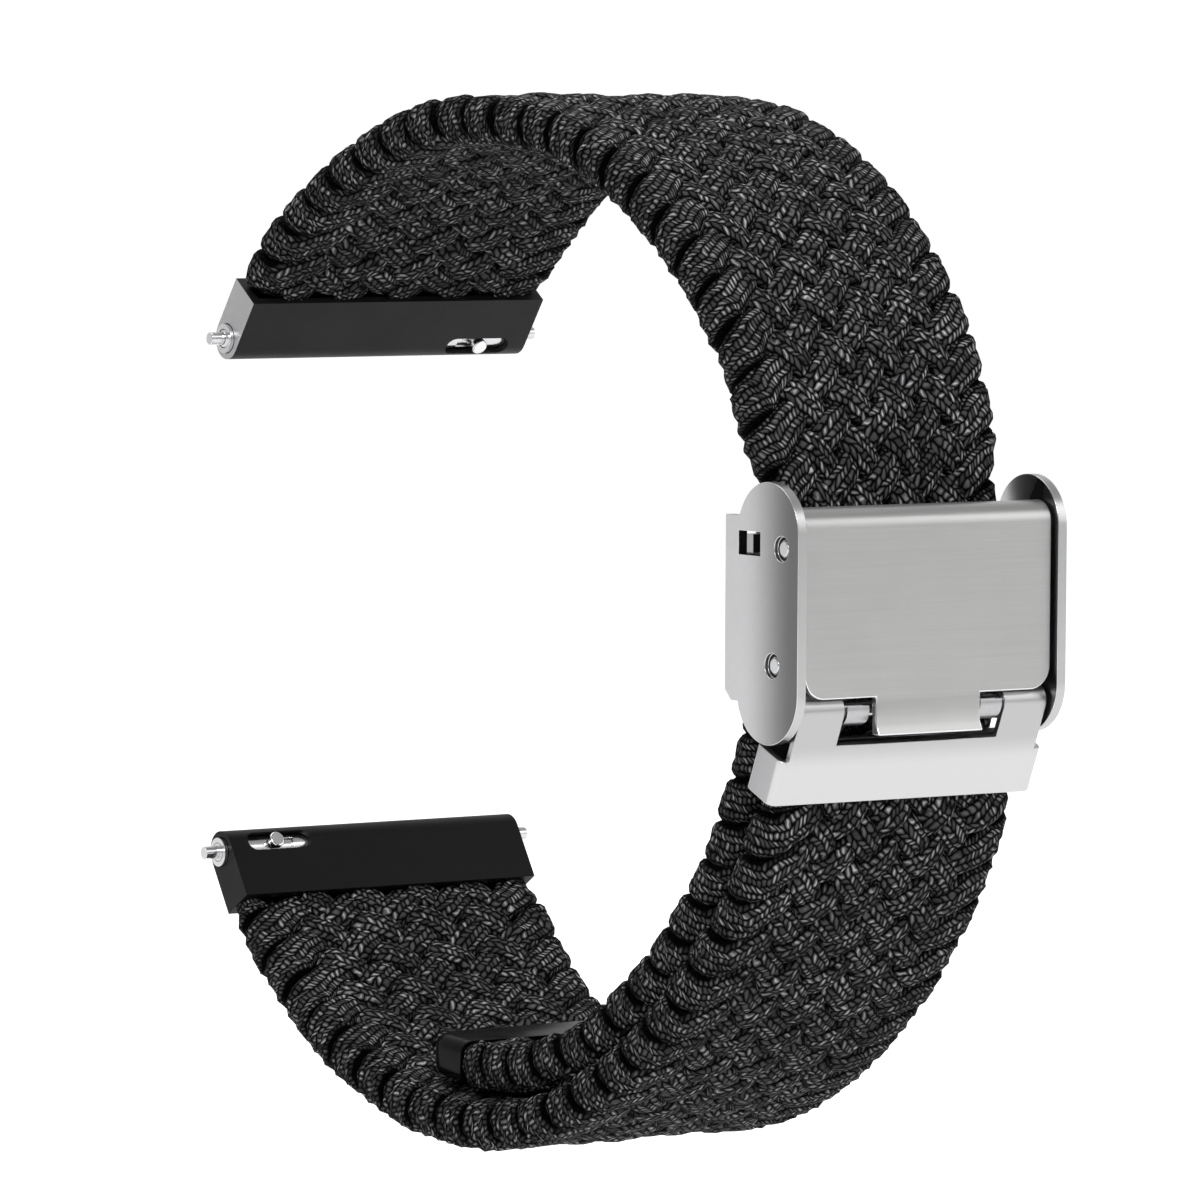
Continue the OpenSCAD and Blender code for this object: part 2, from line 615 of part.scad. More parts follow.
// Lid: a sheet with a curled top, two ears on the lid pin and a lipped tongue
module clasp_lid() {
    curl_z = lid_top - curl_r;
    curl_y = lid_face + curl_r;
    color([0.7, 0.7, 0.71]) worn() {
        translate([0, lid_face + lid_t, 0]) rotate([90, 0, 0]) linear_extrude(lid_t) {
            polygon([[-lid_x, curl_z], [lid_x, curl_z], [lid_x, lid_chamfer - lid_bottom],
                [lid_x - lid_chamfer, -lid_bottom], [lid_chamfer - lid_x, -lid_bottom],
                [-lid_x, lid_chamfer - lid_bottom]]);
            translate([-tongue_w / 2, -tongue_bottom]) square([tongue_w, tongue_bottom]);
        }
        across(-lid_x, lid_x) translate([curl_y, curl_z]) intersection() {
            difference() {
                circle(curl_r);
                circle(curl_r - lid_t);
            }
            polygon([[-2 * curl_r, 0], [0, 0], [2 * curl_r, curl_r], [2 * curl_r, 2 * curl_r], [-2 * curl_r, 2 * curl_r]]);
        }
        across(-tongue_w / 2, tongue_w / 2)
            polygon([[lid_face, 2 * lip_out - tongue_bottom], [lid_face + lid_t, 2 * lip_out - tongue_bottom],
                [lid_face + lid_t / 2, -tongue_bottom], [lid_face - lip_out, -tongue_bottom]]);
        both_sides() across(lid_x - lid_ear_w, lid_x) difference() {
            union() {
                translate([-lid_pin_front, lid_pin_up]) circle(lid_ear_r);
                translate([lid_face + lid_t - eps, lid_pin_up - lid_ear_r])
                    square([-lid_pin_front - lid_face - lid_t + eps, 2 * lid_ear_r]);
            }
            translate([-lid_pin_front, lid_pin_up]) circle(pin_r + run_fit);
        }
    }
}

// Lock plate: it presses the band from the wrist side and hinges on two tabs in the cheek windows
module lock_plate() {
    plate_y = pass_y + eps;
    color([0.6, 0.6, 0.61]) worn() {
        translate([-lid_x, plate_y, -lock_bottom]) cube([2 * lid_x, lock_t, lock_top + lock_bottom]);
        both_sides() {
            across(lid_x - lock_ear_w, lid_x) {
                translate([-lock_front, lock_up]) circle(lock_ear_r);
                polygon([[-lock_front - 0.7 * lock_ear_r, lock_up - 0.7 * lock_ear_r],
                    [-lock_front + 0.3 * lock_ear_r, lock_up + 0.9 * lock_ear_r],
                    [plate_y + lock_t, lock_top], [plate_y + lock_t, lock_top - 2 * lock_ear_r],
                    [plate_y, lock_top - 2 * lock_ear_r]]);
            }
            translate([lid_x - eps, -lock_front - tab_d / 2, lock_up - tab_h / 2])
                cube([clasp_w / 2 - lid_x, tab_d, tab_h]);
        }
    }
}

// Hook plate: a sleeve on the hook pin with two hooks that hold the bracket's bar
module hook_plate() {
    sleeve_r = pin_r + hook_wall;
    hook_r = bar_r + run_fit;
    color([0.8, 0.8, 0.81]) worn() difference() {
        union() {
            translate([0, -hook_pin_front, -hook_pin_down]) rod(-hook_in - hook_w, hook_in + hook_w, sleeve_r);
            both_sides() across(hook_in, hook_in + hook_w) {
                difference() {
                    translate(bar_at) circle(hook_r + hook_wall);
                    translate(bar_at) polygon([[0, 0], [3, 1], [3, 3], [-3, 3], [-3, 0.8]]);
                }
                polygon([[-hook_pin_front, -hook_pin_down - 0.5 * sleeve_r],
                    bar_at + [hook_r, 0.4], bar_at + [hook_r, 0], bar_at + [hook_r + hook_wall, 0],
                    bar_at + [hook_r + hook_wall, 0.4], [-hook_pin_front + 0.98 * sleeve_r, -hook_pin_down]]);
            }
        }
        translate([0, -hook_pin_front, -hook_pin_down]) rod(-clasp_w, clasp_w, pin_r + set_fit);
        translate([0, bar_at[0], bar_at[1]]) rod(-clasp_w, clasp_w, hook_r);
    }
}

// Bracket: Y runs inward from its face and Z up along it
arm_in = hook_in + hook_w + side_gap;
module hook_bracket() {
    color([0.86, 0.86, 0.87]) bracket_place() {
        translate([-bracket_w / 2, 0, 0]) cube([bracket_w, sheet_t, wall_h]);
        translate([-lid_x, 0, 0]) cube([2 * lid_x, sheet_t, plate_h]);
        both_sides() {
            translate([bracket_w / 2 - sheet_t, 0, 0]) cube([sheet_t, bracket_d, wall_h]);
            difference() {
                union() {
                    translate([arm_in, 0, 0]) cube([lid_x - arm_in, sheet_t, bar_u]);
                    translate([0, knuckle_r, bar_u]) rod(arm_in, lid_x, knuckle_r);
                }
                translate([0, knuckle_r, bar_u]) rod(0, clasp_w, bar_r + set_fit);
            }
        }
    }
}
module bracket_back_plate() {
    half = bracket_w / 2 - sheet_t;
    color([0.66, 0.66, 0.67]) bracket_place()
        translate([-half, bracket_d - sheet_t, 0]) cube([2 * half, sheet_t, back_plate_h]);
}
module bracket_bar() {
    color([0.8, 0.8, 0.82]) bracket_place() translate([0, knuckle_r, bar_u]) rod(-lid_x, lid_x, bar_r);
}

upper_strap();
tail_tip();
lower_strap();
upper_end_piece();
lower_end_piece();
upper_bar_tube();
upper_bar_fixed_tip();
upper_bar_sprung_tip();
upper_bar_spring();
upper_release_knob();
lower_bar_tube();
lower_bar_fixed_tip();
lower_bar_sprung_tip();
lower_bar_spring();
lower_release_knob();
clasp_frame();
clasp_lid();
lid_pin();
hook_pin();
lock_plate();
hook_plate();
hook_bracket();
bracket_back_plate();
bracket_bar();
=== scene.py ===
# %% [markdown]
# # A braided watch band with a folding slide clasp
# The real object is a flat braid of black cords, worn closed: two black end pieces with spring bars,
# a long upper band that runs through a steel clasp and ends in a free tail, and a short lower band.
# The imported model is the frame. Everything here is in metres and sits where that model says.

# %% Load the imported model
import math
from functools import partial

import bmesh
import bpy
import numpy as np
from mathutils import Matrix, Vector

import json

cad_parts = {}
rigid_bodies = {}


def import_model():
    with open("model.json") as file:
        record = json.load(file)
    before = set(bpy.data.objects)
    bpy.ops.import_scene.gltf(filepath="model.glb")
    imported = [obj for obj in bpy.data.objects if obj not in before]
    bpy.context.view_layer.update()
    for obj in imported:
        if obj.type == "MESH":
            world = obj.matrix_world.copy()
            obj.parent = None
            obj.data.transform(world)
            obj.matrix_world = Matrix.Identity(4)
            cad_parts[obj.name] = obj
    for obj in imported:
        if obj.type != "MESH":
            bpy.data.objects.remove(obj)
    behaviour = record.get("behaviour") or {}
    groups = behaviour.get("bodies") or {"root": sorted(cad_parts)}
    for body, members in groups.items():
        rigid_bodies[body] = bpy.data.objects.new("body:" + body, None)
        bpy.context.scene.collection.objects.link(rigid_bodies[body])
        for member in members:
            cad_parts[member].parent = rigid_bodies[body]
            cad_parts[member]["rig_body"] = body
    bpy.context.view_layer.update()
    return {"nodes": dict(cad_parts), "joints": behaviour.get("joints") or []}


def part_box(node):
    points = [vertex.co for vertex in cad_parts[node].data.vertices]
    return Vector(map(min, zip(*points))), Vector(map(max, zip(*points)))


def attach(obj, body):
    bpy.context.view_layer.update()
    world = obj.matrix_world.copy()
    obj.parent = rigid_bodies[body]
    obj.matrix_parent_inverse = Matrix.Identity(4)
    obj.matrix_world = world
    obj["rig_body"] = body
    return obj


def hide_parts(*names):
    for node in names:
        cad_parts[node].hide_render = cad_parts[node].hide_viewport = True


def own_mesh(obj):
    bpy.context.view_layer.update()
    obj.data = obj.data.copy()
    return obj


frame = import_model()
nodes = frame["nodes"]
MM = 0.001

# %% [markdown]
# ## Camera
# The photograph was taken from the left and a little above, through a long lens, so that lines which
# run away from it hardly come together. The camera could be placed by eye, but it was fitted to the
# band's outline instead, so it is set by its angles, its distance and its lens.

# %% Camera
AZIMUTH, ELEVATION, ROLL = (math.radians(angle) for angle in (33.94, 4.19, 0.35))
DISTANCE, LENS, SENSOR = 0.45, 224.7, 36
TARGET = Vector((0, -0.026586, 0.000177))
LENS_SHIFT = (-0.00415, 0.0119)


def photo_camera():
    """The camera at these angles, looking at the target from the distance."""
    flat = math.cos(ELEVATION)
    forward = Vector((math.sin(AZIMUTH) * flat, math.cos(AZIMUTH) * flat, -math.sin(ELEVATION)))
    right = Vector((math.cos(AZIMUTH), -math.sin(AZIMUTH), 0))
    up = right.cross(forward)
    right, up = (right * math.cos(ROLL) + up * math.sin(ROLL),
                 up * math.cos(ROLL) - right * math.sin(ROLL))
    data = bpy.data.cameras.new("photo_camera")
    data.lens, data.sensor_width = LENS, SENSOR
    data.shift_x, data.shift_y = LENS_SHIFT
    data.clip_start, data.clip_end = 0.01, 20
    made = bpy.data.objects.new("photo_camera", data)
    bpy.context.scene.collection.objects.link(made)
    turn = Matrix((right, up, -forward)).transposed()
    made.matrix_world = Matrix.Translation(TARGET - forward * DISTANCE) @ turn.to_4x4()
    return made


camera = photo_camera()
bpy.context.scene.camera = camera
bpy.context.scene.view_settings.view_transform = "Standard"
print("camera at", [round(v, 3) for v in camera.matrix_world.translation])

# %% [markdown]
# ## Small helpers for node trees
# Both the braid and the finishes are node trees. Each node could be added, set and wired by hand in
# three or four lines. A helper that does all of it in one call keeps each tree as short as its rule.


# %% Node helpers
def add(tree, kind, *inputs, out=0, **settings):
    """Adds a node and gives back its output: the inputs are sockets or plain values, in order."""
    node = tree.nodes.new(kind)
    for key, value in settings.items():
        setattr(node, key, value)
    places = [s for s in node.inputs if s.enabled]
    for place, value in zip(places, inputs):
        if value is None:
            continue
        if isinstance(value, bpy.types.NodeSocket):
            tree.links.new(value, place)
        else:
            place.default_value = value
    return [s for s in node.outputs if s.enabled][out]


def calc(tree, operation, *values):
    """One step of arithmetic."""
    return add(tree, "ShaderNodeMath", *values, operation=operation)


def vector_calc(tree, operation, *values):
    """One step of vector arithmetic."""
    return add(tree, "ShaderNodeVectorMath", *values, operation=operation)


def toolkit(tree):
    """The three helpers above, bound to one tree."""
    return partial(add, tree), partial(calc, tree), partial(vector_calc, tree)


def socket(tree, name, kind, value=None, way="INPUT"):
    """A named input or output on a node group."""
    made = tree.interface.new_socket(name=name, in_out=way, socket_type=kind)
    if value is not None:
        made.default_value = value
    return made.identifier


# %% [markdown]
# ## Finishes
# Each finish is a small tree on the Principled shader. Flat colours would look like plastic, because
# worked metal is never quite even. What the finishes share, fine streaks and soft clouds, is one node
# group, so it is made once and each finish only says how far it is stretched and how fine it is.


# %% Shared group for worked metal
def make_grain_group():
    """The shared grain: streaks that can be drawn out along an axis, and soft clouds."""
    tree = bpy.data.node_groups.new("metal_grain", "ShaderNodeTree")
    node, _, vectors = toolkit(tree)
    socket(tree, "Stretch", "NodeSocketVector", (1, 1, 1))
    socket(tree, "Scale", "NodeSocketFloat", 1000.0)
    socket(tree, "Streaks", "NodeSocketFloat", way="OUTPUT")
    socket(tree, "Clouds", "NodeSocketFloat", way="OUTPUT")
    given = tree.nodes.new("NodeGroupInput")
    place = node("ShaderNodeTexCoord", out=3)
    stretched = vectors("MULTIPLY", place, given.outputs["Stretch"])
    streaks = node("ShaderNodeTexNoise", stretched, given.outputs["Scale"], 3.0, 0.6)
    clouds = node("ShaderNodeTexNoise", place, 300.0, 2.0, 0.5)
    result = tree.nodes.new("NodeGroupOutput")
    tree.links.new(streaks, result.inputs["Streaks"])
    tree.links.new(clouds, result.inputs["Clouds"])
    return tree


grain_group = make_grain_group()
print("grain group with", len(grain_group.nodes), "nodes")

# %% [markdown]
# ## Bare steel
# The clasp is stamped stainless steel. Its cheeks are satin, its lid is brushed from side to side, its
# rims and hooks are polished. All are one kind of tree with other numbers. The brushing is the shared
# grain drawn out along x into lines. The cheeks and the bracket get a painted shade that darkens them
# softly along one axis, as they darken in the photograph: the cheeks towards their front, the bracket
# upward towards its slot under the lid's tongue.

# %% A material on the shared grain
# most values of a noise lie between these two
NOISE_LOW, NOISE_HIGH = 0.3, 0.7


def grained(name, stretch, scale):
    """A new material with its shader and the two outputs of the shared grain."""
    material = bpy.data.materials.new(name)
    material.use_nodes = True
    tree = material.node_tree
    grain = tree.nodes.new("ShaderNodeGroup")
    grain.node_tree = grain_group
    grain.inputs["Stretch"].default_value = stretch
    grain.inputs["Scale"].default_value = scale
    return material, tree.nodes["Principled BSDF"], grain.outputs["Streaks"], grain.outputs["Clouds"]


def spread_over(tree, noise, low, high):
    """A noise mapped from its usual values to these two."""
    return add(tree, "ShaderNodeMapRange", noise, NOISE_LOW, NOISE_HIGH, low, high)


# %% Metal finish
def metal(name, colour, rough, stretch=(1, 1, 1), scale=900.0, spread=0.0, tint=0.0, bump=0.0,
          painted_shade=None):
    """Bare metal: the grain moves its gloss by spread, its colour by tint and its relief by bump.

    The last argument is painted shade: an axis, two places on it in metres, the shade at each."""
    material, shader, streaks, clouds = grained(name, stretch, scale)
    tree = material.node_tree
    node, maths, vectors = toolkit(tree)
    gloss = spread_over(tree, streaks, rough - spread, rough + spread)
    tree.links.new(gloss, shader.inputs["Roughness"])
    shade = maths("MULTIPLY", spread_over(tree, streaks, 1 - tint, 1 + tint),
                  spread_over(tree, clouds, 1 - tint / 2, 1 + tint / 2))
    # painted shade: the colour darkens softly along one axis
    if painted_shade:
        axis, *ends = painted_shade
        at = node("ShaderNodeSeparateXYZ", node("ShaderNodeTexCoord", out=3), out=axis)
        fading = node("ShaderNodeMapRange", at, *ends, interpolation_type="SMOOTHSTEP")
        shade = maths("MULTIPLY", shade, fading)
    tree.links.new(vectors("SCALE", colour, shade), shader.inputs["Base Color"])
    shader.inputs["Metallic"].default_value = 1.0
    if bump:
        relief = node("ShaderNodeBump", bump, 0.00002, None, streaks)
        tree.links.new(relief, shader.inputs["Normal"])
    return material


# %% [markdown]
# ## The steels of the clasp and the bars
# One line makes one finish: colour, roughness, stretch and scale of the grain, then how far the grain
# moves gloss, colour and relief. The greys were matched to the photograph one face at a time.

# %% Steel finishes
EVEN, BRUSHED = (1, 1, 1), (0.01, 1, 1)
# painted shade: cheeks darker towards the front, bracket darker up towards its slot under the tongue
CHEEK_PAINTED_SHADE = (1, -0.0594, -0.0542, 0.26, 1.0)
BRACKET_PAINTED_SHADE = (2, -0.0064, -0.0049, 1.0, 0.78)
STEELS = [
    # satin steel of the plates, also used as painted shade on the bracket's sideways faces
    ("satin_steel", (0.5, 0.5, 0.51), 0.3, EVEN, 2500, 0.03, 0.02, 0.02),
    ("cheek_steel", (0.71, 0.71, 0.72), 0.32, EVEN, 2500, 0.03, 0.02, 0.02, CHEEK_PAINTED_SHADE),
    ("brushed_lid", (0.51, 0.51, 0.505), 0.36, BRUSHED, 11000, 0.03, 0.035, 0.05),
    ("bracket_steel", (0.66, 0.66, 0.665), 0.34, EVEN, 900, 0.0, 0.0, 0.0, BRACKET_PAINTED_SHADE),
    ("polished_steel", (0.84, 0.84, 0.85), 0.16, EVEN, 900, 0.03, 0.02),
    ("bar_steel", (0.72, 0.72, 0.73), 0.2, EVEN, 1500, 0.05, 0.05),
    # painted shade: near-black steel for the windows, the sunk rings and the tabs the windows show
    ("recess", (0.03, 0.03, 0.03), 0.5),
    ("rim_steel", (0.56, 0.56, 0.565), 0.3),
    ("cut_end", (0.5, 0.5, 0.51), 0.45, EVEN, 2500, 0.04, 0.04, 0.04),
]
finishes = {settings[0]: metal(*settings) for settings in STEELS}
print("steel finishes", sorted(finishes))

# %% [markdown]
# ## Black finishes
# The end pieces are lacquered metal and the tail's cap is moulded, both nearly black. Black needs a
# weak gloss here: at full strength the white room would turn every face grey. The two end pieces have
# slightly different blacks, as they have in the photograph.


# %% Black finishes
def blackened(name, colour, rough, specular):
    """Lacquered black metal or moulded black plastic, with a soft unevenness in its gloss."""
    material, shader, streaks, clouds = grained(name, EVEN, 1500)
    tree = material.node_tree
    tree.links.new(spread_over(tree, clouds, rough - 0.04, rough + 0.04), shader.inputs["Roughness"])
    tinted = vector_calc(tree, "SCALE", colour, spread_over(tree, streaks, 0.9, 1.1))
    tree.links.new(tinted, shader.inputs["Base Color"])
    shader.inputs["Specular IOR Level"].default_value = specular
    relief = add(tree, "ShaderNodeBump", 0.1, 0.00001, None, streaks)
    tree.links.new(relief, shader.inputs["Normal"])
    return material


finishes["upper_black"] = blackened("upper_black", (0.01, 0.01, 0.0105), 0.5, 0.25)
finishes["lower_black"] = blackened("lower_black", (0.003, 0.003, 0.0033), 0.45, 0.17)
finishes["cap"] = blackened("cap", (0.002, 0.002, 0.0022), 0.22, 0.06)
print("with the blacks", len(finishes), "finishes")

# %% [markdown]
# ## Cord finish
# Each cord has a plaited sheath: columns of short yarns that slant one way and the other by turns, with
# dark gaps between and now and then a yarn that catches the light. Modelling every yarn would be
# heavy. The mesh tells each point how far it lies along its cord and round it, so the yarns can be
# drawn from those two numbers, in colour and in relief, with shade and glints painted into the colour.

# %% Columns and rows of yarns
YARN_PITCH, YARN_COLUMNS, YARN_SLANT = 0.00036, 8.0, 0.6
COLUMN_WAVER, ROW_WAVER = 0.9, 1.5
CORD_STEP, COLUMN_STEP = 0.37, 0.41
WAVER_SCALE = 1300.0


def yarns(tree, place):
    """Where a point lies in its yarn: off to the side, ahead of its middle, and the yarn's own lot."""
    node, maths, _ = toolkit(tree)
    along, around, cord = (node("ShaderNodeAttribute", out=2, attribute_name=name)
                           for name in ("along", "around", "cord"))
    waver = maths("SUBTRACT", node("ShaderNodeTexNoise", place, WAVER_SCALE, 1.0, 0.5), 0.5)
    around = maths("ADD", maths("MULTIPLY", around, YARN_COLUMNS),
                   maths("MULTIPLY", waver, COLUMN_WAVER))
    column = maths("FLOOR", around)
    off = maths("SUBTRACT", maths("FRACT", around), 0.5)
    turn = maths("SUBTRACT", maths("MULTIPLY", maths("FLOORED_MODULO", column, 2.0), 2.0), 1.0)
    onward = maths("ADD", maths("DIVIDE", along, YARN_PITCH),
                   maths("MULTIPLY", maths("MULTIPLY", off, turn), YARN_SLANT))
    onward = maths("ADD", onward, maths("MULTIPLY", waver, ROW_WAVER))
    onward = maths("ADD", onward, maths("ADD", maths("MULTIPLY", cord, CORD_STEP),
                                        maths("MULTIPLY", column, COLUMN_STEP)))
    row = maths("FLOOR", onward)
    ahead = maths("SUBTRACT", maths("FRACT", onward), 0.5)
    lot = node("ShaderNodeTexWhiteNoise", node("ShaderNodeCombineXYZ", row, column, cord), out=0)
    return off, ahead, lot


# %% [markdown]
# ## Grey and gloss of the yarns
# Seen close, a yarn is a small dark mound. Its grey is its own and worn patches are a little lighter.
# The gaps between the yarns and the cord's sides get painted shade and stay black, and a few yarns get
# a painted glint, a short bright stroke along their middle.

# %% Cord finish
FUZZ_SCALE, WEAR_SCALE = 7000.0, 320.0
# the gaps' grey is painted shade, the yarns' grey their own, the glints' grey a painted highlight
GAP_PAINTED_SHADE, YARN_GREY, PAINTED_GLINT_GREY = 0.0005, 0.092, 0.42


def cord_finish():
    """Black cord in a plaited sheath: each yarn is a small mound with its own grey and gloss."""
    material = bpy.data.materials.new("braid")
    material.use_nodes = True
    tree = material.node_tree
    shader = tree.nodes["Principled BSDF"]
    node, maths, _ = toolkit(tree)
    ramp = partial(node, "ShaderNodeMapRange")
    place = node("ShaderNodeTexCoord", out=3)
    off, ahead, lot = yarns(tree, place)

    # each yarn is a mound whose grey falls off into painted shade, a black gap all round
    def mound(way):
        reach = maths("ABSOLUTE", maths("MULTIPLY", way, 2.0))
        return maths("SUBTRACT", 1.0, maths("POWER", reach, 2.0))

    grain = maths("MULTIPLY", mound(off), mound(ahead))
    fuzz = node("ShaderNodeTexNoise", place, FUZZ_SCALE, 1.0, 0.6)
    worn = node("ShaderNodeTexNoise", place, WEAR_SCALE, 2.0, 0.5)
    # the cord's sides lie in its neighbours' shade
    across = node("ShaderNodeAttribute", out=2, attribute_name="across")
    side = ramp(maths("ABSOLUTE", across), 0.55, 0.93, 1.0, 0.0)
    fuzzy = maths("MULTIPLY", grain, spread_over(tree, fuzz, 0.85, 1.15))
    base = ramp(fuzzy, 0.18, 0.78, GAP_PAINTED_SHADE, YARN_GREY)
    body = maths("MULTIPLY", maths("MULTIPLY", base, side), ramp(lot, 0.0, 1.0, 0.4, 1.6))
    body = maths("MULTIPLY", body, spread_over(tree, worn, 0.8, 1.2))

    # a few yarns get a painted glint, a short bright stroke along their middle
    painted_glint = maths("MULTIPLY", ramp(maths("ABSOLUTE", ahead), 0.04, 0.17, 1.0, 0.0),
                 ramp(maths("ABSOLUTE", off), 0.12, 0.4, 1.0, 0.0))
    few = ramp(maths("MULTIPLY", lot, maths("ADD", worn, 0.5)), 0.4, 1.0, 0.0, 1.0)
    painted_glint = maths("MULTIPLY", painted_glint, few)
    value = maths("ADD", body, maths("MULTIPLY", maths("MULTIPLY", painted_glint, side), PAINTED_GLINT_GREY))
    colour = node("ShaderNodeCombineXYZ", value, value, maths("MULTIPLY", value, 1.03))
    tree.links.new(colour, shader.inputs["Base Color"])
    tree.links.new(ramp(painted_glint, 0.0, 1.0, 0.6, 0.4), shader.inputs["Roughness"])
    tree.links.new(node("ShaderNodeBump", 1.0, 0.0001, None, grain), shader.inputs["Normal"])
    shader.inputs["Specular IOR Level"].default_value = 0.03
    return material


finishes["braid"] = cord_finish()
print("cord finish with", len(finishes["braid"].node_tree.nodes), "nodes")

# %% [markdown]
# ## The run of the band
# Worn closed, each band runs along straight stretches and arcs. A drawn curve could follow them only
# roughly, so the source's own list is walked here: each stretch is a radius and a turn, and a turn of
# zero is a straight of that length.

# %% Straights and arcs of the source, in mm and degrees
SHIFT = (-54.5857, 2.4769)
UPPER_RUN = [(4.6, 0), (9, -12), (24, -31), (30, -58), (34, -34), (8, -9)]
TAIL_RUN = [(3.26458, 0), (6, 23), (3.78154, 0), (34.7, 42), (25.2, 39), (27.2, 34)]
LOWER_RUN = [(3.2, 0), (38, 42), (28.5, 39), (30.5, 34), (8, 9)]
UPPER_START, TAIL_START = (0, 0, math.radians(90)), (0, 0, math.radians(-90))
LOWER_START = (-2.33347, -7.43369, math.radians(-67))
UPPER_LEN, LOWER_LEN, TAIL_LEN = 71.2716, 69.8105, 47.4


def walk(start, run, distance):
    """The place and heading after this distance along a run of straights and arcs."""
    y, z, h = start
    for radius, turn in run:
        length = radius if turn == 0 else radius * abs(math.radians(turn))
        step = min(distance, length)
        if turn == 0:
            y, z = y + step * math.cos(h), z + step * math.sin(h)
        else:
            r = math.copysign(radius, turn)
            ahead = h + step / r
            y, z = y + r * (math.sin(ahead) - math.sin(h)), z - r * (math.cos(ahead) - math.cos(h))
            h = ahead
        distance -= step
        if distance <= 0:
            return y, z, h
    return y + distance * math.cos(h), z + distance * math.sin(h), h


def upper_place(distance):
    """A place on the upper band: onward from the clasp, or back along the tail."""
    if distance >= 0:
        return walk(UPPER_START, UPPER_RUN, distance)
    return walk(TAIL_START, TAIL_RUN, -distance)


print("the lower band ends at", [round(v, 2) for v in walk(LOWER_START, LOWER_RUN, LOWER_LEN)])

# %% [markdown]
# ## The two band lines
# The braid is squeezed inside the clasp and where it enters a metal piece, and it is narrower at the
# clasp than at the watch. Each point of a line therefore carries the band's width and thickness there,
# as shares of the full size, and the braid follows them later.

# %% A line that knows its width and thickness
BAND_W, BAND_T = 22.0, 3.0


def band_line(name, places, widths, thicknesses):
    """A chain of edges along the run, in metres, with each point's share of the full section."""
    mesh = bpy.data.meshes.new(name)
    points = [(0, (y + SHIFT[0]) * MM, (z + SHIFT[1]) * MM) for _, (y, z, _) in places]
    mesh.from_pydata(points, [(k, k + 1) for k in range(len(points) - 1)], [])
    share = mesh.attributes.new("share", "FLOAT_VECTOR", "POINT")
    at = [d for d, _ in places]
    w = np.interp(at, *zip(*widths)) / BAND_W
    t = np.interp(at, *zip(*thicknesses)) / BAND_T
    share.data.foreach_set("vector", np.c_[w, t, np.zeros(len(w))].ravel())
    line = bpy.data.objects.new(name, mesh)
    bpy.context.scene.collection.objects.link(line)
    return line


# %% [markdown]
# ## Where the bands narrow
# The widths and thicknesses follow the source's lists, so that the braid fits the pieces it enters.
# Between two places of a table the size changes evenly.

# %% The two band lines, as distance and size in mm
# a band's end dips a little into the piece that holds it; the lower one starts inside the bracket
END_DIP, HELD = 0.1, 2.6
UPPER_WIDTHS = [(-TAIL_LEN, 15.7), (-TAIL_LEN + 1, 16.6), (-13.4, 16.8), (-7.4, 17.1), (-4.6, 17),
                (-3.4, 16.1), (7.4, 16), (9.9, 17.2), (UPPER_LEN - 1.5, 22), (UPPER_LEN, 21.2)]
UPPER_THICKNESSES = [(-TAIL_LEN, 2.4), (-TAIL_LEN + 1.2, 3), (-13.4, 3), (-9.9, 2.4), (7.4, 2.4),
                     (9.9, 3), (UPPER_LEN - 2.5, 3), (UPPER_LEN, 2)]
LOWER_WIDTHS = [(3.2, 16.6), (4.8, 17.2), (LOWER_LEN - 1.5, 22), (LOWER_LEN, 21.2)]
LOWER_THICKNESSES = [(3.2, 1.7), (4.8, 3), (LOWER_LEN - 2.5, 3), (LOWER_LEN, 2)]
upper_places = [(d, upper_place(d))
                for d in np.linspace(-TAIL_LEN - END_DIP, UPPER_LEN + END_DIP, 480)]
lower_places = [(d, walk(LOWER_START, LOWER_RUN, d))
                for d in np.linspace(LOWER_LEN + END_DIP, HELD, 280)]
upper_line = band_line("upper_braid", upper_places, UPPER_WIDTHS, UPPER_THICKNESSES)
lower_line = band_line("lower_braid", lower_places, LOWER_WIDTHS, LOWER_THICKNESSES)
print("band lines", len(upper_places), "and", len(lower_places), "points")

# %% [markdown]
# ## The braid
# A flat braid of ten cords: each cord goes slantwise across the band, over one cord and under the next,
# rolls round the edge and comes back on the other face. Placing cords by hand would never close up.
# It is a rule, so Geometry Nodes draw it: first a straight, full-width braid on a flat bed, then a
# second stage lays that bed along the band's line. Every size of the rule is a named input.

# %% The braid tree and its inputs, in metres
BRAID_INPUTS = [
    ("Cords", "NodeSocketInt", 10),
    ("Pitch", "NodeSocketFloat", 0.0029),
    ("Length", "NodeSocketFloat", 0.1),
    ("Start", "NodeSocketFloat", 0.0),
    ("Rings", "NodeSocketInt", 500),
    ("Half width", "NodeSocketFloat", 0.011),
    ("Cord half width", "NodeSocketFloat", 0.0012),
    ("Cord half thickness", "NodeSocketFloat", 0.00113),
    ("Rise", "NodeSocketFloat", 0.00037),
    ("Unevenness", "NodeSocketFloat", 0.00013),
    ("Edge reach", "NodeSocketFloat", 0.003),
    ("Edge slant", "NodeSocketFloat", 0.0007),
    ("Edge widening", "NodeSocketFloat", 0.2),
    ("Edge flattening", "NodeSocketFloat", 0.0),
    ("Finish", "NodeSocketMaterial", None),
]
braid_tree = bpy.data.node_groups.new("flat_braid", "GeometryNodeTree")
braid_tree.is_modifier = True
socket(braid_tree, "Geometry", "NodeSocketGeometry")
braid_inputs = {name: socket(braid_tree, name, kind, value) for name, kind, value in BRAID_INPUTS}
socket(braid_tree, "Geometry", "NodeSocketGeometry", way="OUTPUT")
given = braid_tree.nodes.new("NodeGroupInput").outputs
node, maths, vectors = toolkit(braid_tree)
position = partial(node, "GeometryNodeInputPosition")


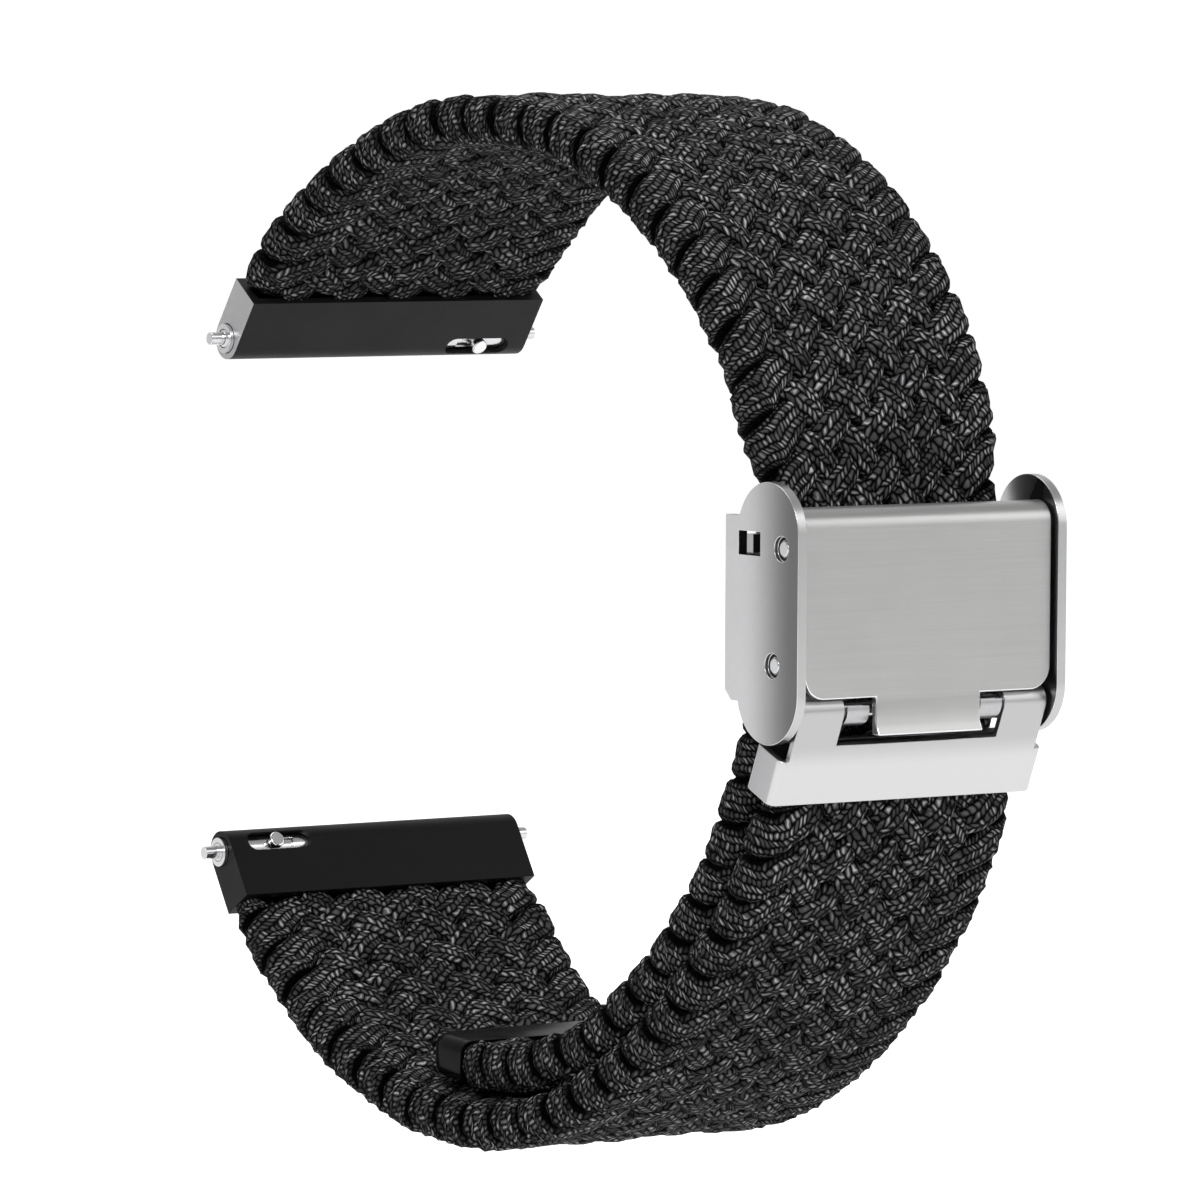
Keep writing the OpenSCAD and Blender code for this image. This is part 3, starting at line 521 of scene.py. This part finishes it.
def kept(shape, name, value, kind="FLOAT"):
    """The shape with a value kept on its points under a name."""
    return node("GeometryNodeStoreNamedAttribute", shape, None, name, value,
                domain="POINT", data_type=kind)


def known(name, kind="FLOAT"):
    """A value that was kept under a name."""
    return node("GeometryNodeInputNamedAttribute", name, data_type=kind)


print("braid tree with", len(braid_inputs), "named inputs")

# %% [markdown]
# ## How far a cord has come
# All ten cords start as the same straight line. What sets them apart is only how far each has come on
# its way round the band, and that grows steadily with the length: 0 to 1 from edge to edge on the face,
# then 1 to 2 on the back.

# %% Ten cords and their phase
line = node("GeometryNodeCurvePrimitiveLine", (0, 0, 0),
            node("ShaderNodeCombineXYZ", 0.0, given["Length"], 0.0))
line = node("GeometryNodeResampleCurve", line, None, given["Rings"])
line = kept(line, "at", node("ShaderNodeSeparateXYZ", position(), out=1))
copies = braid_tree.nodes.new("GeometryNodeDuplicateElements")
copies.domain = "SPLINE"
braid_tree.links.new(line, copies.inputs["Geometry"])
braid_tree.links.new(given["Cords"], copies.inputs["Amount"])
cords = kept(copies.outputs["Geometry"], "cord", copies.outputs["Duplicate Index"])
at, cord = known("at"), known("cord")

period = maths("MULTIPLY", given["Cords"], given["Pitch"])
turns = maths("ADD", maths("DIVIDE", maths("ADD", at, given["Start"]), period),
              maths("DIVIDE", cord, given["Cords"]))
phase = maths("MULTIPLY", turns, 2.0)
part = maths("FRACT", phase)
on_back = maths("FLOORED_MODULO", maths("FLOOR", phase), 2.0)
face = maths("SUBTRACT", 1.0, maths("MULTIPLY", on_back, 2.0))
print("braid tree has", len(braid_tree.nodes), "nodes after the phase")

# %% [markdown]
# ## The way round the band
# Seen from the band's end, a cord's way is two straights joined by two half circles. The share of the
# way gives how far it has turned out of one edge, how far it has run across, and how far it has turned
# into the other edge.

# %% Two straights and two half circles
roll = given["Rise"]
half_thick = maths("MULTIPLY", given["Cord half thickness"],
                   maths("SUBTRACT", 1.0, given["Edge flattening"]))
flat = maths("SUBTRACT", maths("SUBTRACT", given["Half width"], half_thick), roll)
across_flat = maths("MULTIPLY", flat, 2.0)
quarter = maths("MULTIPLY", roll, math.pi / 2)
whole_way = maths("ADD", across_flat, maths("MULTIPLY", quarter, 2.0))
way = maths("MULTIPLY", part, whole_way)
rest = maths("SUBTRACT", whole_way, way)
leave = maths("MINIMUM", maths("DIVIDE", way, roll), math.pi / 2)
arrive = maths("MINIMUM", maths("DIVIDE", rest, roll), math.pi / 2)
run = maths("MINIMUM", maths("MAXIMUM", maths("SUBTRACT", way, quarter), 0.0), across_flat)
out = maths("SUBTRACT", maths("COSINE", arrive), maths("COSINE", leave))
sideways = maths("ADD", maths("SUBTRACT", run, flat), maths("MULTIPLY", out, roll))
up = maths("MULTIPLY", maths("SINE", leave), maths("SINE", arrive))
print("braid tree has", len(braid_tree.nodes), "nodes after the way round")

# %% [markdown]
# ## Over one and under one
# Between the edges a cord meets every other cord once, so it follows a wave that is up at one crossing
# and down at the next. A plain cosine is too pointed for a tight braid, so its crests are filled out.

# %% Rise and dip
crossing = maths("MAXIMUM", maths("MULTIPLY", part, given["Cords"]), 1.0)
crossing = maths("MINIMUM", crossing, maths("SUBTRACT", given["Cords"], 1.0))
wave = maths("MULTIPLY", maths("COSINE", maths("MULTIPLY", crossing, math.pi)), -1.0)
fuller_wave = maths("SUBTRACT", 1.5, maths("MULTIPLY", maths("MULTIPLY", wave, wave), 0.5))
lift = maths("MULTIPLY", maths("MULTIPLY", up, maths("MULTIPLY", wave, fuller_wave)), roll)
print("braid tree has", len(braid_tree.nodes), "nodes after the rise and dip")

# %% [markdown]
# ## Round the edge
# Seen from the side, the cords lie slantwise over the band's edge like the lobes of a rope. So a cord
# gains more length of band near the edge than on the face. The gain fades with the distance from it.

# %% Gain at the edge, and each cord's line
nearest = maths("MINIMUM", way, rest)
past = maths("MINIMUM", maths("DIVIDE", nearest, given["Edge reach"]), 1.0)
fading = maths("SUBTRACT", 1.0, maths("MULTIPLY", past, past))
gain = maths("MULTIPLY", maths("MULTIPLY", past, maths("MULTIPLY", fading, fading)),
             given["Edge slant"])
gain = maths("MULTIPLY", gain, maths("SIGN", maths("SUBTRACT", rest, way)))
spot = node("ShaderNodeCombineXYZ", maths("MULTIPLY", sideways, face), maths("ADD", at, gain),
            maths("MULTIPLY", lift, face))
facing = node("ShaderNodeCombineXYZ", maths("MULTIPLY", out, face), 0.0, maths("MULTIPLY", up, face))
edge = node("ShaderNodeMapRange", nearest, 0.0, given["Edge reach"], 1.0, 0.0,
            interpolation_type="SMOOTHSTEP")
print("braid tree has", len(braid_tree.nodes), "nodes after the gain at the edge")

# %% [markdown]
# ## Length along the cord
# The yarns of the finish are counted along the cord's outer side, which is longer than its middle line
# where it turns. On the face the cord runs slantwise, so a step across is a longer step of cord.

# %% Length along
FACE_SLANT = 1.26
outer = maths("ADD", roll, half_thick)
turned = maths("MULTIPLY", maths("ADD", leave, maths("SUBTRACT", math.pi / 2, arrive)), outer)
cord_way = maths("ADD", maths("MULTIPLY", outer, math.pi), maths("MULTIPLY", flat, 2 * FACE_SLANT))
along = maths("ADD", maths("MULTIPLY", maths("FLOOR", phase), cord_way),
              maths("ADD", turned, maths("MULTIPLY", run, FACE_SLANT)))
cords = kept(kept(cords, "edge", edge), "along", along)
print("braid tree has", len(braid_tree.nodes), "nodes after the length along")

# %% [markdown]
# ## Small unevenness
# A real braid is never quite even. A noise that runs along each cord moves it a little, with another
# stretch of noise for each cord, and then the flat of the cord is turned outward all the way round.

# %% Move the cords and turn them outward
SHAKES_PER_METRE, CORD_APART = 400.0, 7.3
seed = node("ShaderNodeCombineXYZ", maths("MULTIPLY", at, SHAKES_PER_METRE),
            maths("MULTIPLY", cord, CORD_APART), 0.0)
uneven = vectors("SUBTRACT", node("ShaderNodeTexNoise", seed, 1.0, 1.0, 0.5, out=1), (0.5, 0.5, 0.5))
shaken = vectors("SCALE", uneven, maths("MULTIPLY", given["Unevenness"], 4.0))
cords = node("GeometryNodeSetPosition", cords, None, vectors("ADD", spot, shaken))
heading = node("GeometryNodeInputTangent")
lean = vectors("SCALE", heading, vectors("DOT_PRODUCT", facing, heading))
upright = vectors("NORMALIZE", vectors("SUBTRACT", facing, lean))
cords = node("GeometryNodeSetCurveNormal", cords, None, upright, mode="FREE")
cords = kept(cords, "outward", upright, "FLOAT_VECTOR")
cords = kept(cords, "centre", position(), "FLOAT_VECTOR")
print("braid tree has", len(braid_tree.nodes), "nodes after the cords' lines")

# %% [markdown]
# ## The cord's section
# A cord under tension in a braid is neither round nor flat. Its section is a circle whose points are
# pushed towards a rounded box. Its first axis points outward and its second sideways.

# %% Section, swept along the cords
ROUNDING = (0.85, 0.6, 1)
section = node("GeometryNodeCurvePrimitiveCircle", 16, 1.0)
section = kept(section, "across", node("ShaderNodeSeparateXYZ", position(), out=1))
ring = position()
boxed = vectors("MULTIPLY", vectors("SIGN", ring),
                vectors("POWER", vectors("ABSOLUTE", ring), ROUNDING))
size = node("ShaderNodeCombineXYZ", given["Cord half thickness"], given["Cord half width"], 1.0)
section = node("GeometryNodeSetPosition", section, None, vectors("MULTIPLY", boxed, size))
# the way round the section, 0 at one side and 1 at the other, the same over the top and underneath
around = maths("FRACT", maths("ADD", node("GeometryNodeSplineParameter"), 0.75))
around = maths("ABSOLUTE", maths("SUBTRACT", maths("MULTIPLY", around, 2.0), 1.0))
section = kept(section, "around", maths("SUBTRACT", 1.0, around))
swept = node("GeometryNodeCurveToMesh", cords, section, 1.0, True)
print("braid tree has", len(braid_tree.nodes), "nodes after the sweep")

# %% [markdown]
# ## Wider at the edge
# Where a cord rolls round the edge it is wider, so that it lies against its neighbours, but a sweep
# gives it the same section all along. Each point is therefore taken apart into the share that points
# outward and the share that points sideways, and each share gets its own scale.

# %% Widen the cords where they roll round the edge
centre, outward = known("centre", "FLOAT_VECTOR"), known("outward", "FLOAT_VECTOR")
off = vectors("SUBTRACT", position(), centre)
thick = vectors("SCALE", outward, vectors("DOT_PRODUCT", off, outward))
broad = vectors("SUBTRACT", off, thick)
thinner = maths("SUBTRACT", 1.0, maths("MULTIPLY", known("edge"), given["Edge flattening"]))
broader = maths("ADD", 1.0, maths("MULTIPLY", known("edge"), given["Edge widening"]))
formed = vectors("ADD", vectors("SCALE", thick, thinner), vectors("SCALE", broad, broader))
swept = node("GeometryNodeSetPosition", swept, None, vectors("ADD", centre, formed))
print("braid tree has", len(braid_tree.nodes), "nodes after the widening")

# %% [markdown]
# ## Laying the braid along the band
# The flat braid could be bent with a curve modifier, but that knows nothing of a width and thickness
# that change. Here each point asks the band's line for the place at its own length: its length becomes
# the way along, its height the way outward, and its width and height take the line's shares.

# %% Lay the flat braid along the line
laid_line = node("GeometryNodeMeshToCurve", given["Geometry"])
bed = braid_tree.nodes.new("ShaderNodeSeparateXYZ")
braid_tree.links.new(position(), bed.inputs[0])
sample = braid_tree.nodes.new("GeometryNodeSampleCurve")
sample.mode, sample.data_type = "LENGTH", "FLOAT_VECTOR"
cut = maths("MINIMUM", maths("MAXIMUM", bed.outputs["Y"], 0.0), given["Length"])
braid_tree.links.new(laid_line, sample.inputs["Curves"])
braid_tree.links.new(known("share", "FLOAT_VECTOR"), sample.inputs["Value"])
braid_tree.links.new(cut, sample.inputs["Length"])
share = braid_tree.nodes.new("ShaderNodeSeparateXYZ")
braid_tree.links.new(sample.outputs["Value"], share.inputs[0])
rise = vectors("NORMALIZE", vectors("CROSS_PRODUCT", (1, 0, 0), sample.outputs["Tangent"]))
high = vectors("SCALE", rise, maths("MULTIPLY", bed.outputs["Z"], share.outputs["Y"]))
wide = node("ShaderNodeCombineXYZ", maths("MULTIPLY", bed.outputs["X"], share.outputs["X"]), 0.0, 0.0)
laid = vectors("ADD", vectors("ADD", sample.outputs["Position"], high), wide)
mesh = node("GeometryNodeSetPosition", swept, None, laid)
mesh = node("GeometryNodeSetShadeSmooth", mesh)
mesh = node("GeometryNodeRealizeInstances", mesh)
mesh = node("GeometryNodeSetMaterial", mesh, None, given["Finish"])
braid_tree.links.new(mesh, braid_tree.nodes.new("NodeGroupOutput").inputs[0])
print("braid tree is whole with", len(braid_tree.nodes), "nodes")

# %% [markdown]
# ## The two bands
# Both bands are the same braid, so both run the same tree with another length and another start. The
# cords of each then begin where the rule says, and the result is kept as plain mesh.

# %% Make one band
RING_STEP = 0.2


def plait(line, length, start, body, replaced):
    """Runs the braid tree on a band line and keeps the result as a plain mesh on one body."""
    made = line.modifiers.new("braid", "NODES")
    made.node_group = braid_tree
    for name, value in (("Length", length * MM), ("Start", start * MM),
                        ("Rings", int(length / RING_STEP)), ("Finish", finishes["braid"])):
        made[braid_inputs[name]] = value
    evaluated = line.evaluated_get(bpy.context.evaluated_depsgraph_get())
    mesh = bpy.data.meshes.new_from_object(evaluated)
    line.modifiers.clear()
    name = line.name
    bpy.data.objects.remove(line)
    band = bpy.data.objects.new(name, mesh)
    bpy.context.scene.collection.objects.link(band)
    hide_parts(replaced)
    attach(band, body)
    mesh.calc_loop_triangles()
    print(name, len(mesh.loop_triangles), "triangles")


plait(upper_line, UPPER_LEN + TAIL_LEN + 2 * END_DIP, -TAIL_LEN - END_DIP, "frame", "upper_strap")
plait(lower_line, LOWER_LEN + END_DIP - HELD, -LOWER_LEN - END_DIP, "lower", "lower_strap")

# %% [markdown]
# ## Metal pieces
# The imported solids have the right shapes, but knife edges, and real stamped steel has none. Each one is
# copied, its loose triangles are merged into faces, and a narrow bevel rounds the edges, which then
# catch light as real ones do. The bevel may take a brighter finish, where a rim is polished.


# %% A copy with whole faces
SAME_SPOT, LEVEL, SHARP = 1e-7, math.radians(1.5), math.radians(35)
BEND_SEGMENTS = 6


def merged_copy(solid, finish, bends):
    """A copy of a solid's mesh with merged faces, and with the edges that bends picks rounded wide."""
    mesh = nodes[solid].data.copy()
    mesh.materials.clear()
    mesh.materials.append(finishes[finish])
    work = bmesh.new()
    work.from_mesh(mesh)
    bmesh.ops.remove_doubles(work, verts=work.verts, dist=SAME_SPOT)
    bmesh.ops.dissolve_limit(work, angle_limit=LEVEL, verts=work.verts, edges=work.edges)
    if bends:
        test, width = bends
        picked = [e for e in work.edges if test(e)]
        bmesh.ops.bevel(work, geom=picked, offset=width * MM, segments=BEND_SEGMENTS,
                        profile=0.5, affect="EDGES")
        print(solid, "bends rounded:", len(picked))
    for face in work.faces:
        face.smooth = True
        face.material_index = 0
    work.to_mesh(mesh)
    work.free()
    if "custom_normal" in mesh.attributes:
        mesh.attributes.remove(mesh.attributes["custom_normal"])
    return mesh


# %% [markdown]
# ## One dressed piece
# The bevel is a modifier first, because a modifier can keep the faces' shading flat while it rounds
# the edges. Its result is then kept as plain mesh. Faces that need another finish, such as cut rims,
# are marked last, when all faces exist.


# %% Dress one solid
def dress(solid, finish, bevel, rim=None, segments=2, bends=None, marks=()):
    """A copy of a solid with merged faces and rounded edges, standing for it.

    bends is a test on edges with a width in mm; marks are finishes, each with a test on faces."""
    mesh = merged_copy(solid, finish, bends)
    piece = bpy.data.objects.new(solid + "_dressed", mesh)
    bpy.context.scene.collection.objects.link(piece)
    if rim:
        mesh.materials.append(finishes[rim])
    round_edges = piece.modifiers.new("round_edges", "BEVEL")
    round_edges.width, round_edges.segments = bevel * MM, segments
    round_edges.limit_method, round_edges.angle_limit = "ANGLE", SHARP
    round_edges.harden_normals = True
    round_edges.material = 1 if rim else 0
    bpy.context.view_layer.update()
    evaluated = piece.evaluated_get(bpy.context.evaluated_depsgraph_get())
    final = bpy.data.meshes.new_from_object(evaluated)
    piece.modifiers.clear()
    piece.data = final
    for name, test in marks:
        final.materials.append(finishes[name])
        picked = [face for face in final.polygons if test(face)]
        for face in picked:
            face.material_index = len(final.materials) - 1
        print(solid, "faces with", name + ":", len(picked))
    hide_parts(solid)
    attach(piece, nodes[solid]["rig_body"])
    return piece


# %% [markdown]
# ## Rims and windows of the cheeks
# The cheeks are cut from sheet, with duller cut rims. Their windows, the rings sunk round the two
# pins and the lock plate's tabs behind the windows get painted shade, a near-black steel. Faces could
# be picked by number, but numbers change with every pack, so each is picked by a test on its place.

# %% Tests for the cheeks' faces
CHEEK_IN, TAB_IN = 8.8 * MM, 8.6 * MM
RING_RADIUS, WINDOW_HALF = 0.71 * MM, (1.1 * MM, 0.75 * MM)


def place_of(y, z):
    """A place of the source, in mm, as a place in the frame."""
    return (y + SHIFT[0]) * MM, (z + SHIFT[1]) * MM


PINS = [place_of(-3.6, 3.7), place_of(-2.75, -2.9)]
WINDOW = place_of(-0.45, 3.87)


def near_pin(face):
    """A face of the sunk rings round the two pins."""
    return any(math.hypot(face.center.y - y, face.center.z - z) < RING_RADIUS for y, z in PINS)


def in_window(face):
    """A face inside the cheeks' windows."""
    return (abs(face.center.y - WINDOW[0]) < WINDOW_HALF[0]
            and abs(face.center.z - WINDOW[1]) < WINDOW_HALF[1])


def on_cheek(face):
    """A face of the outer sheet of either cheek."""
    return abs(face.center.x) > CHEEK_IN - 0.05 * MM


def cheek_rim(face):
    """A cut rim of the cheeks."""
    return on_cheek(face) and abs(face.normal.x) < 0.3 and not in_window(face) and not near_pin(face)


def cheek_recess(face):
    """Where shade is painted: a window's wall, or a face of a sunk ring that isn't a polished edge."""
    wall = in_window(face) and abs(face.normal.x) < 0.3
    return on_cheek(face) and (wall or near_pin(face) and face.material_index == 0)


def tab_front(face):
    """The front of the lock plate's tabs, which the windows show, where shade is painted."""
    return abs(face.center.x) > TAB_IN and face.normal.y < -0.9


print("pins at", [[round(v / MM, 2) for v in pin] for pin in PINS])

# %% [markdown]
# ## Bends of the lid and the bracket
# The lid's lower corners are cut round and the bracket's sheet is bent over a radius, so both are
# rounder than the bevel makes them. Their edges are picked by place and length.

# %% Tests for the bends
END_X, BRACKET_X = 10.7 * MM, 9.2 * MM
LID_SIDE, BEND_LENGTH = 7.7 * MM, 2.8 * MM
LID_FOOT = ((SHIFT[1] - 4.76) * MM, (SHIFT[1] - 3.94) * MM)
SAME = 1e-6


def end_face(limit):
    """A test for faces that look sideways and lie beyond this x."""
    return lambda face: abs(face.normal.x) > 0.99 and abs(face.center.x) > limit - 0.01 * MM


def lid_corner(edge):
    """An edge through the sheet at the lid's lower corners."""
    a, b = (v.co for v in edge.verts)
    through = abs(a.x - b.x) < SAME and abs(a.z - b.z) < SAME and abs(a.x) > LID_SIDE
    return through and LID_FOOT[0] < a.z < LID_FOOT[1]


def bracket_bend(edge):
    """An edge where the bracket's sheet turns from its front to its sides."""
    a, b = (v.co for v in edge.verts)
    return (min(abs(a.x), abs(b.x)) > BRACKET_X - SAME
            and abs((a - b).length - BEND_LENGTH) < 0.05 * MM)


print("the lid's corners lie at z", [round(z / MM, 2) for z in LID_FOOT])

# %% [markdown]
# ## The tail's cap
# The cap is moulded, so its outer edges are well rounded, but its mouth is cut square where the braid
# goes in. An edge counts as outer when no point of the cap lies beyond either of its faces.

# %% Test for the cap's outer edges
CAP_POINTS = [v.co.copy() for v in nodes["tail_tip"].data.vertices]
tail_heading = upper_places[0][1][2]
TAIL_BACK = -Vector((0, math.cos(tail_heading), math.sin(tail_heading)))


def cap_rim(edge):
    """An outer edge of the cap that isn't at its mouth."""
    faces = edge.link_faces
    beyond = [max((point - f.calc_center_median()).dot(f.normal) for point in CAP_POINTS)
              for f in faces]
    at_mouth = any(f.normal.dot(TAIL_BACK) > 0.9 for f in faces)
    return (len(faces) == 2 and all(reach < SAME for reach in beyond) and not at_mouth
            and edge.calc_face_angle() > 0.7)


print("the cap's mouth faces", [round(v, 2) for v in TAIL_BACK])

# %% [markdown]
# ## Dress the solids
# Each solid has a line with its finish, its bevel in mm and the finish of its polished edges.

# %% Which solid wears what
DRESSED = {
    "clasp_frame": ("cheek_steel", 0.14, "polished_steel"),
    "clasp_lid": ("brushed_lid", 0.08, "polished_steel"),
    "hook_bracket": ("bracket_steel", 0.1, None),
    "bracket_back_plate": ("satin_steel", 0.06, None),
    "lock_plate": ("satin_steel", 0.08, None),
    "hook_plate": ("satin_steel", 0.06, "polished_steel"),
    "lid_pin": ("bar_steel", 0.1, None),
    "hook_pin": ("bar_steel", 0.1, None),
    "bracket_bar": ("bar_steel", 0.05, None),
    "upper_end_piece": ("upper_black", 0.06, None),
    "lower_end_piece": ("lower_black", 0.25, None),
    "tail_tip": ("cap", 0.08, None),
}
BAR_PIECES = {
    "bar_tube": ("bar_steel", 0.03, None),
    "bar_fixed_tip": ("bar_steel", 0.08, None),
    "bar_sprung_tip": ("bar_steel", 0.08, None),
    "release_knob": ("polished_steel", 0.1, None),
}
DRESSED |= {side + "_" + name: look for name, look in BAR_PIECES.items() for side in ("upper", "lower")}
BENDS = {"clasp_lid": (lid_corner, 0.5), "hook_bracket": (bracket_bend, 0.5),
         "tail_tip": (cap_rim, 0.75)}
MARKS = {
    # the windows, the sunk rings round the pins and the tabs behind the windows get painted shade
    "clasp_frame": [("rim_steel", cheek_rim), ("recess", cheek_recess)],
    "lock_plate": [("recess", tab_front)],
    # painted shade: the bracket's sideways faces take the darker satin steel
    "hook_bracket": [("satin_steel", end_face(BRACKET_X))],
    "upper_end_piece": [("cut_end", end_face(END_X))],
}
for name, (finish, bevel, rim) in DRESSED.items():
    piece = dress(name, finish, bevel, rim, segments=3, bends=BENDS.get(name),
                  marks=MARKS.get(name, ()))
print("dressed", len(DRESSED), "solids")

# %% [markdown]
# ## The springs in the spring bars
# A spring in each bar's tube pushes the sprung tip out, and the knob draws the tip back against it. Each
# spring is dressed like the other solids and gets a mesh of its own.


# %% The springs, each with a mesh of its own
def joint(name):
    """A joint of the record."""
    return next(j for j in frame["joints"] if j["name"] == name)


for side, held in (("upper", 0), ("lower", 1)):
    spring = dress(side + "_bar_spring", "bar_steel", 0.02)
    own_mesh(spring)

# %% [markdown]
# ## Floor and backdrop
# The photograph has plain white all round. A pale floor curves up into a pale wall far behind, so that
# no horizon shows. A floor that glowed would light the band from below, so it is an ordinary pale
# surface to the light and is lifted to white only where the camera or a mirror sees it. It lies lower
# than the closed band, because the lower strap swings down when the bracket turns.

# %% Pale surface
PALE_LIFT = 0.68


def pale(name, lift):
    """An ordinary pale surface to the light, lifted to white where it is seen or mirrored."""
    material = bpy.data.materials.new(name)
    material.use_nodes = True
    tree = material.node_tree
    _, maths, _ = toolkit(tree)
    shader = tree.nodes["Principled BSDF"]
    shader.inputs["Base Color"].default_value = (0.85, 0.85, 0.85, 1)
    shader.inputs["Roughness"].default_value = 0.9
    shader.inputs["Specular IOR Level"].default_value = 0.1
    rays = tree.nodes.new("ShaderNodeLightPath").outputs
    mirrored = maths("MAXIMUM", rays["Is Glossy Ray"], rays["Is Transmission Ray"])
    seen = maths("ADD", maths("MULTIPLY", rays["Is Camera Ray"], lift),
                 maths("MULTIPLY", mirrored, lift / 2))
    shader.inputs["Emission Color"].default_value = (1, 1, 1, 1)
    tree.links.new(seen, shader.inputs["Emission Strength"])
    return material


# %% Floor under the swung strap
FLOOR_FRONT, COVE_START, COVE_RADIUS, WALL_TOP, HALF_WIDTH = -2.5, 0.9, 0.6, 3, 3
FLOOR_GAP = 0.001


def lowest_reach():
    """The lowest point of the swung lower end piece, so that the floor is clear of it."""
    swing = joint("bracket_swing")
    turn = Matrix.Rotation(math.radians(swing["range_deg"][1]), 3, Vector(swing["axis"]))
    pin = Vector(swing["pos_m"])
    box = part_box("lower_end_piece")
    corners = [Vector((0, a.y, b.z)) for a in box for b in box]
    return min((pin + turn @ (corner - pin)).z for corner in corners)


def make_floor():
    """The floor with its cove and wall, as one smooth strip."""
    low = lowest_reach() - FLOOR_GAP
    print("floor at", round(low / MM, 1), "mm")
    cove = [(COVE_START + COVE_RADIUS * math.sin(a), low + COVE_RADIUS * (1 - math.cos(a)))
            for a in np.linspace(0, math.pi / 2, 16)]
    rows = [(FLOOR_FRONT, low)] + cove + [(COVE_START + COVE_RADIUS, WALL_TOP)]
    points = [(x, y, z) for y, z in rows for x in (-HALF_WIDTH, HALF_WIDTH)]
    faces = [(2 * k, 2 * k + 1, 2 * k + 3, 2 * k + 2) for k in range(len(rows) - 1)]
    mesh = bpy.data.meshes.new("floor")
    mesh.from_pydata(points, [], faces)
    mesh.polygons.foreach_set("use_smooth", [True] * len(faces))
    mesh.materials.append(pale("pale_floor", PALE_LIFT))
    made = bpy.data.objects.new("floor", mesh)
    bpy.context.scene.collection.objects.link(made)
    return made


floor = make_floor()

# %% [markdown]
# ## Background and light
# The band stands as in a light tent. The world is an even soft grey to the light and white to the
# camera, and three large soft lamps give the steel its bright and dark sides: the key from the front
# left, a weaker fill from the right, and one from above. Small lamps would make hard glints.

# %% World and lamps
ROOM_LIGHT = 0.38
MIDDLE = (0, -0.027, 0)
LAMPS = {
    "key": ((-0.35, -0.55, 0.45), 0.3, 2.4),
    "fill": ((0.5, -0.4, 0.25), 0.4, 0.9),
    "top": ((0, 0.1, 0.6), 0.5, 1.6),
}


def make_world():
    """Even grey light all round, and plain white where the camera looks past everything."""
    world = bpy.data.worlds.new("studio")
    bpy.context.scene.world = world
    world.use_nodes = True
    tree = world.node_tree
    grey, white = tree.nodes["Background"], tree.nodes.new("ShaderNodeBackground")
    for background in (grey, white):
        background.inputs["Color"].default_value = (1, 1, 1, 1)
    grey.inputs["Strength"].default_value = ROOM_LIGHT
    ray = tree.nodes.new("ShaderNodeLightPath")
    mixed = tree.nodes.new("ShaderNodeMixShader")
    tree.links.new(ray.outputs["Is Camera Ray"], mixed.inputs[0])
    tree.links.new(grey.outputs[0], mixed.inputs[1])
    tree.links.new(white.outputs[0], mixed.inputs[2])
    tree.links.new(mixed.outputs[0], tree.nodes["World Output"].inputs["Surface"])


def lamp(name, spot, size, power):
    """A large soft square lamp that faces the middle of the band."""
    data = bpy.data.lights.new(name, "AREA")
    data.shape, data.size, data.energy = "SQUARE", size, power
    made = bpy.data.objects.new(name, data)
    made.location = spot
    made.rotation_mode = "QUATERNION"
    made.rotation_quaternion = (Vector(MIDDLE) - Vector(spot)).to_track_quat("-Z", "Y")
    bpy.context.scene.collection.objects.link(made)


make_world()
for name, (spot, size, power) in LAMPS.items():
    lamp(name, spot, size, power)
print("lamps", sorted(LAMPS))
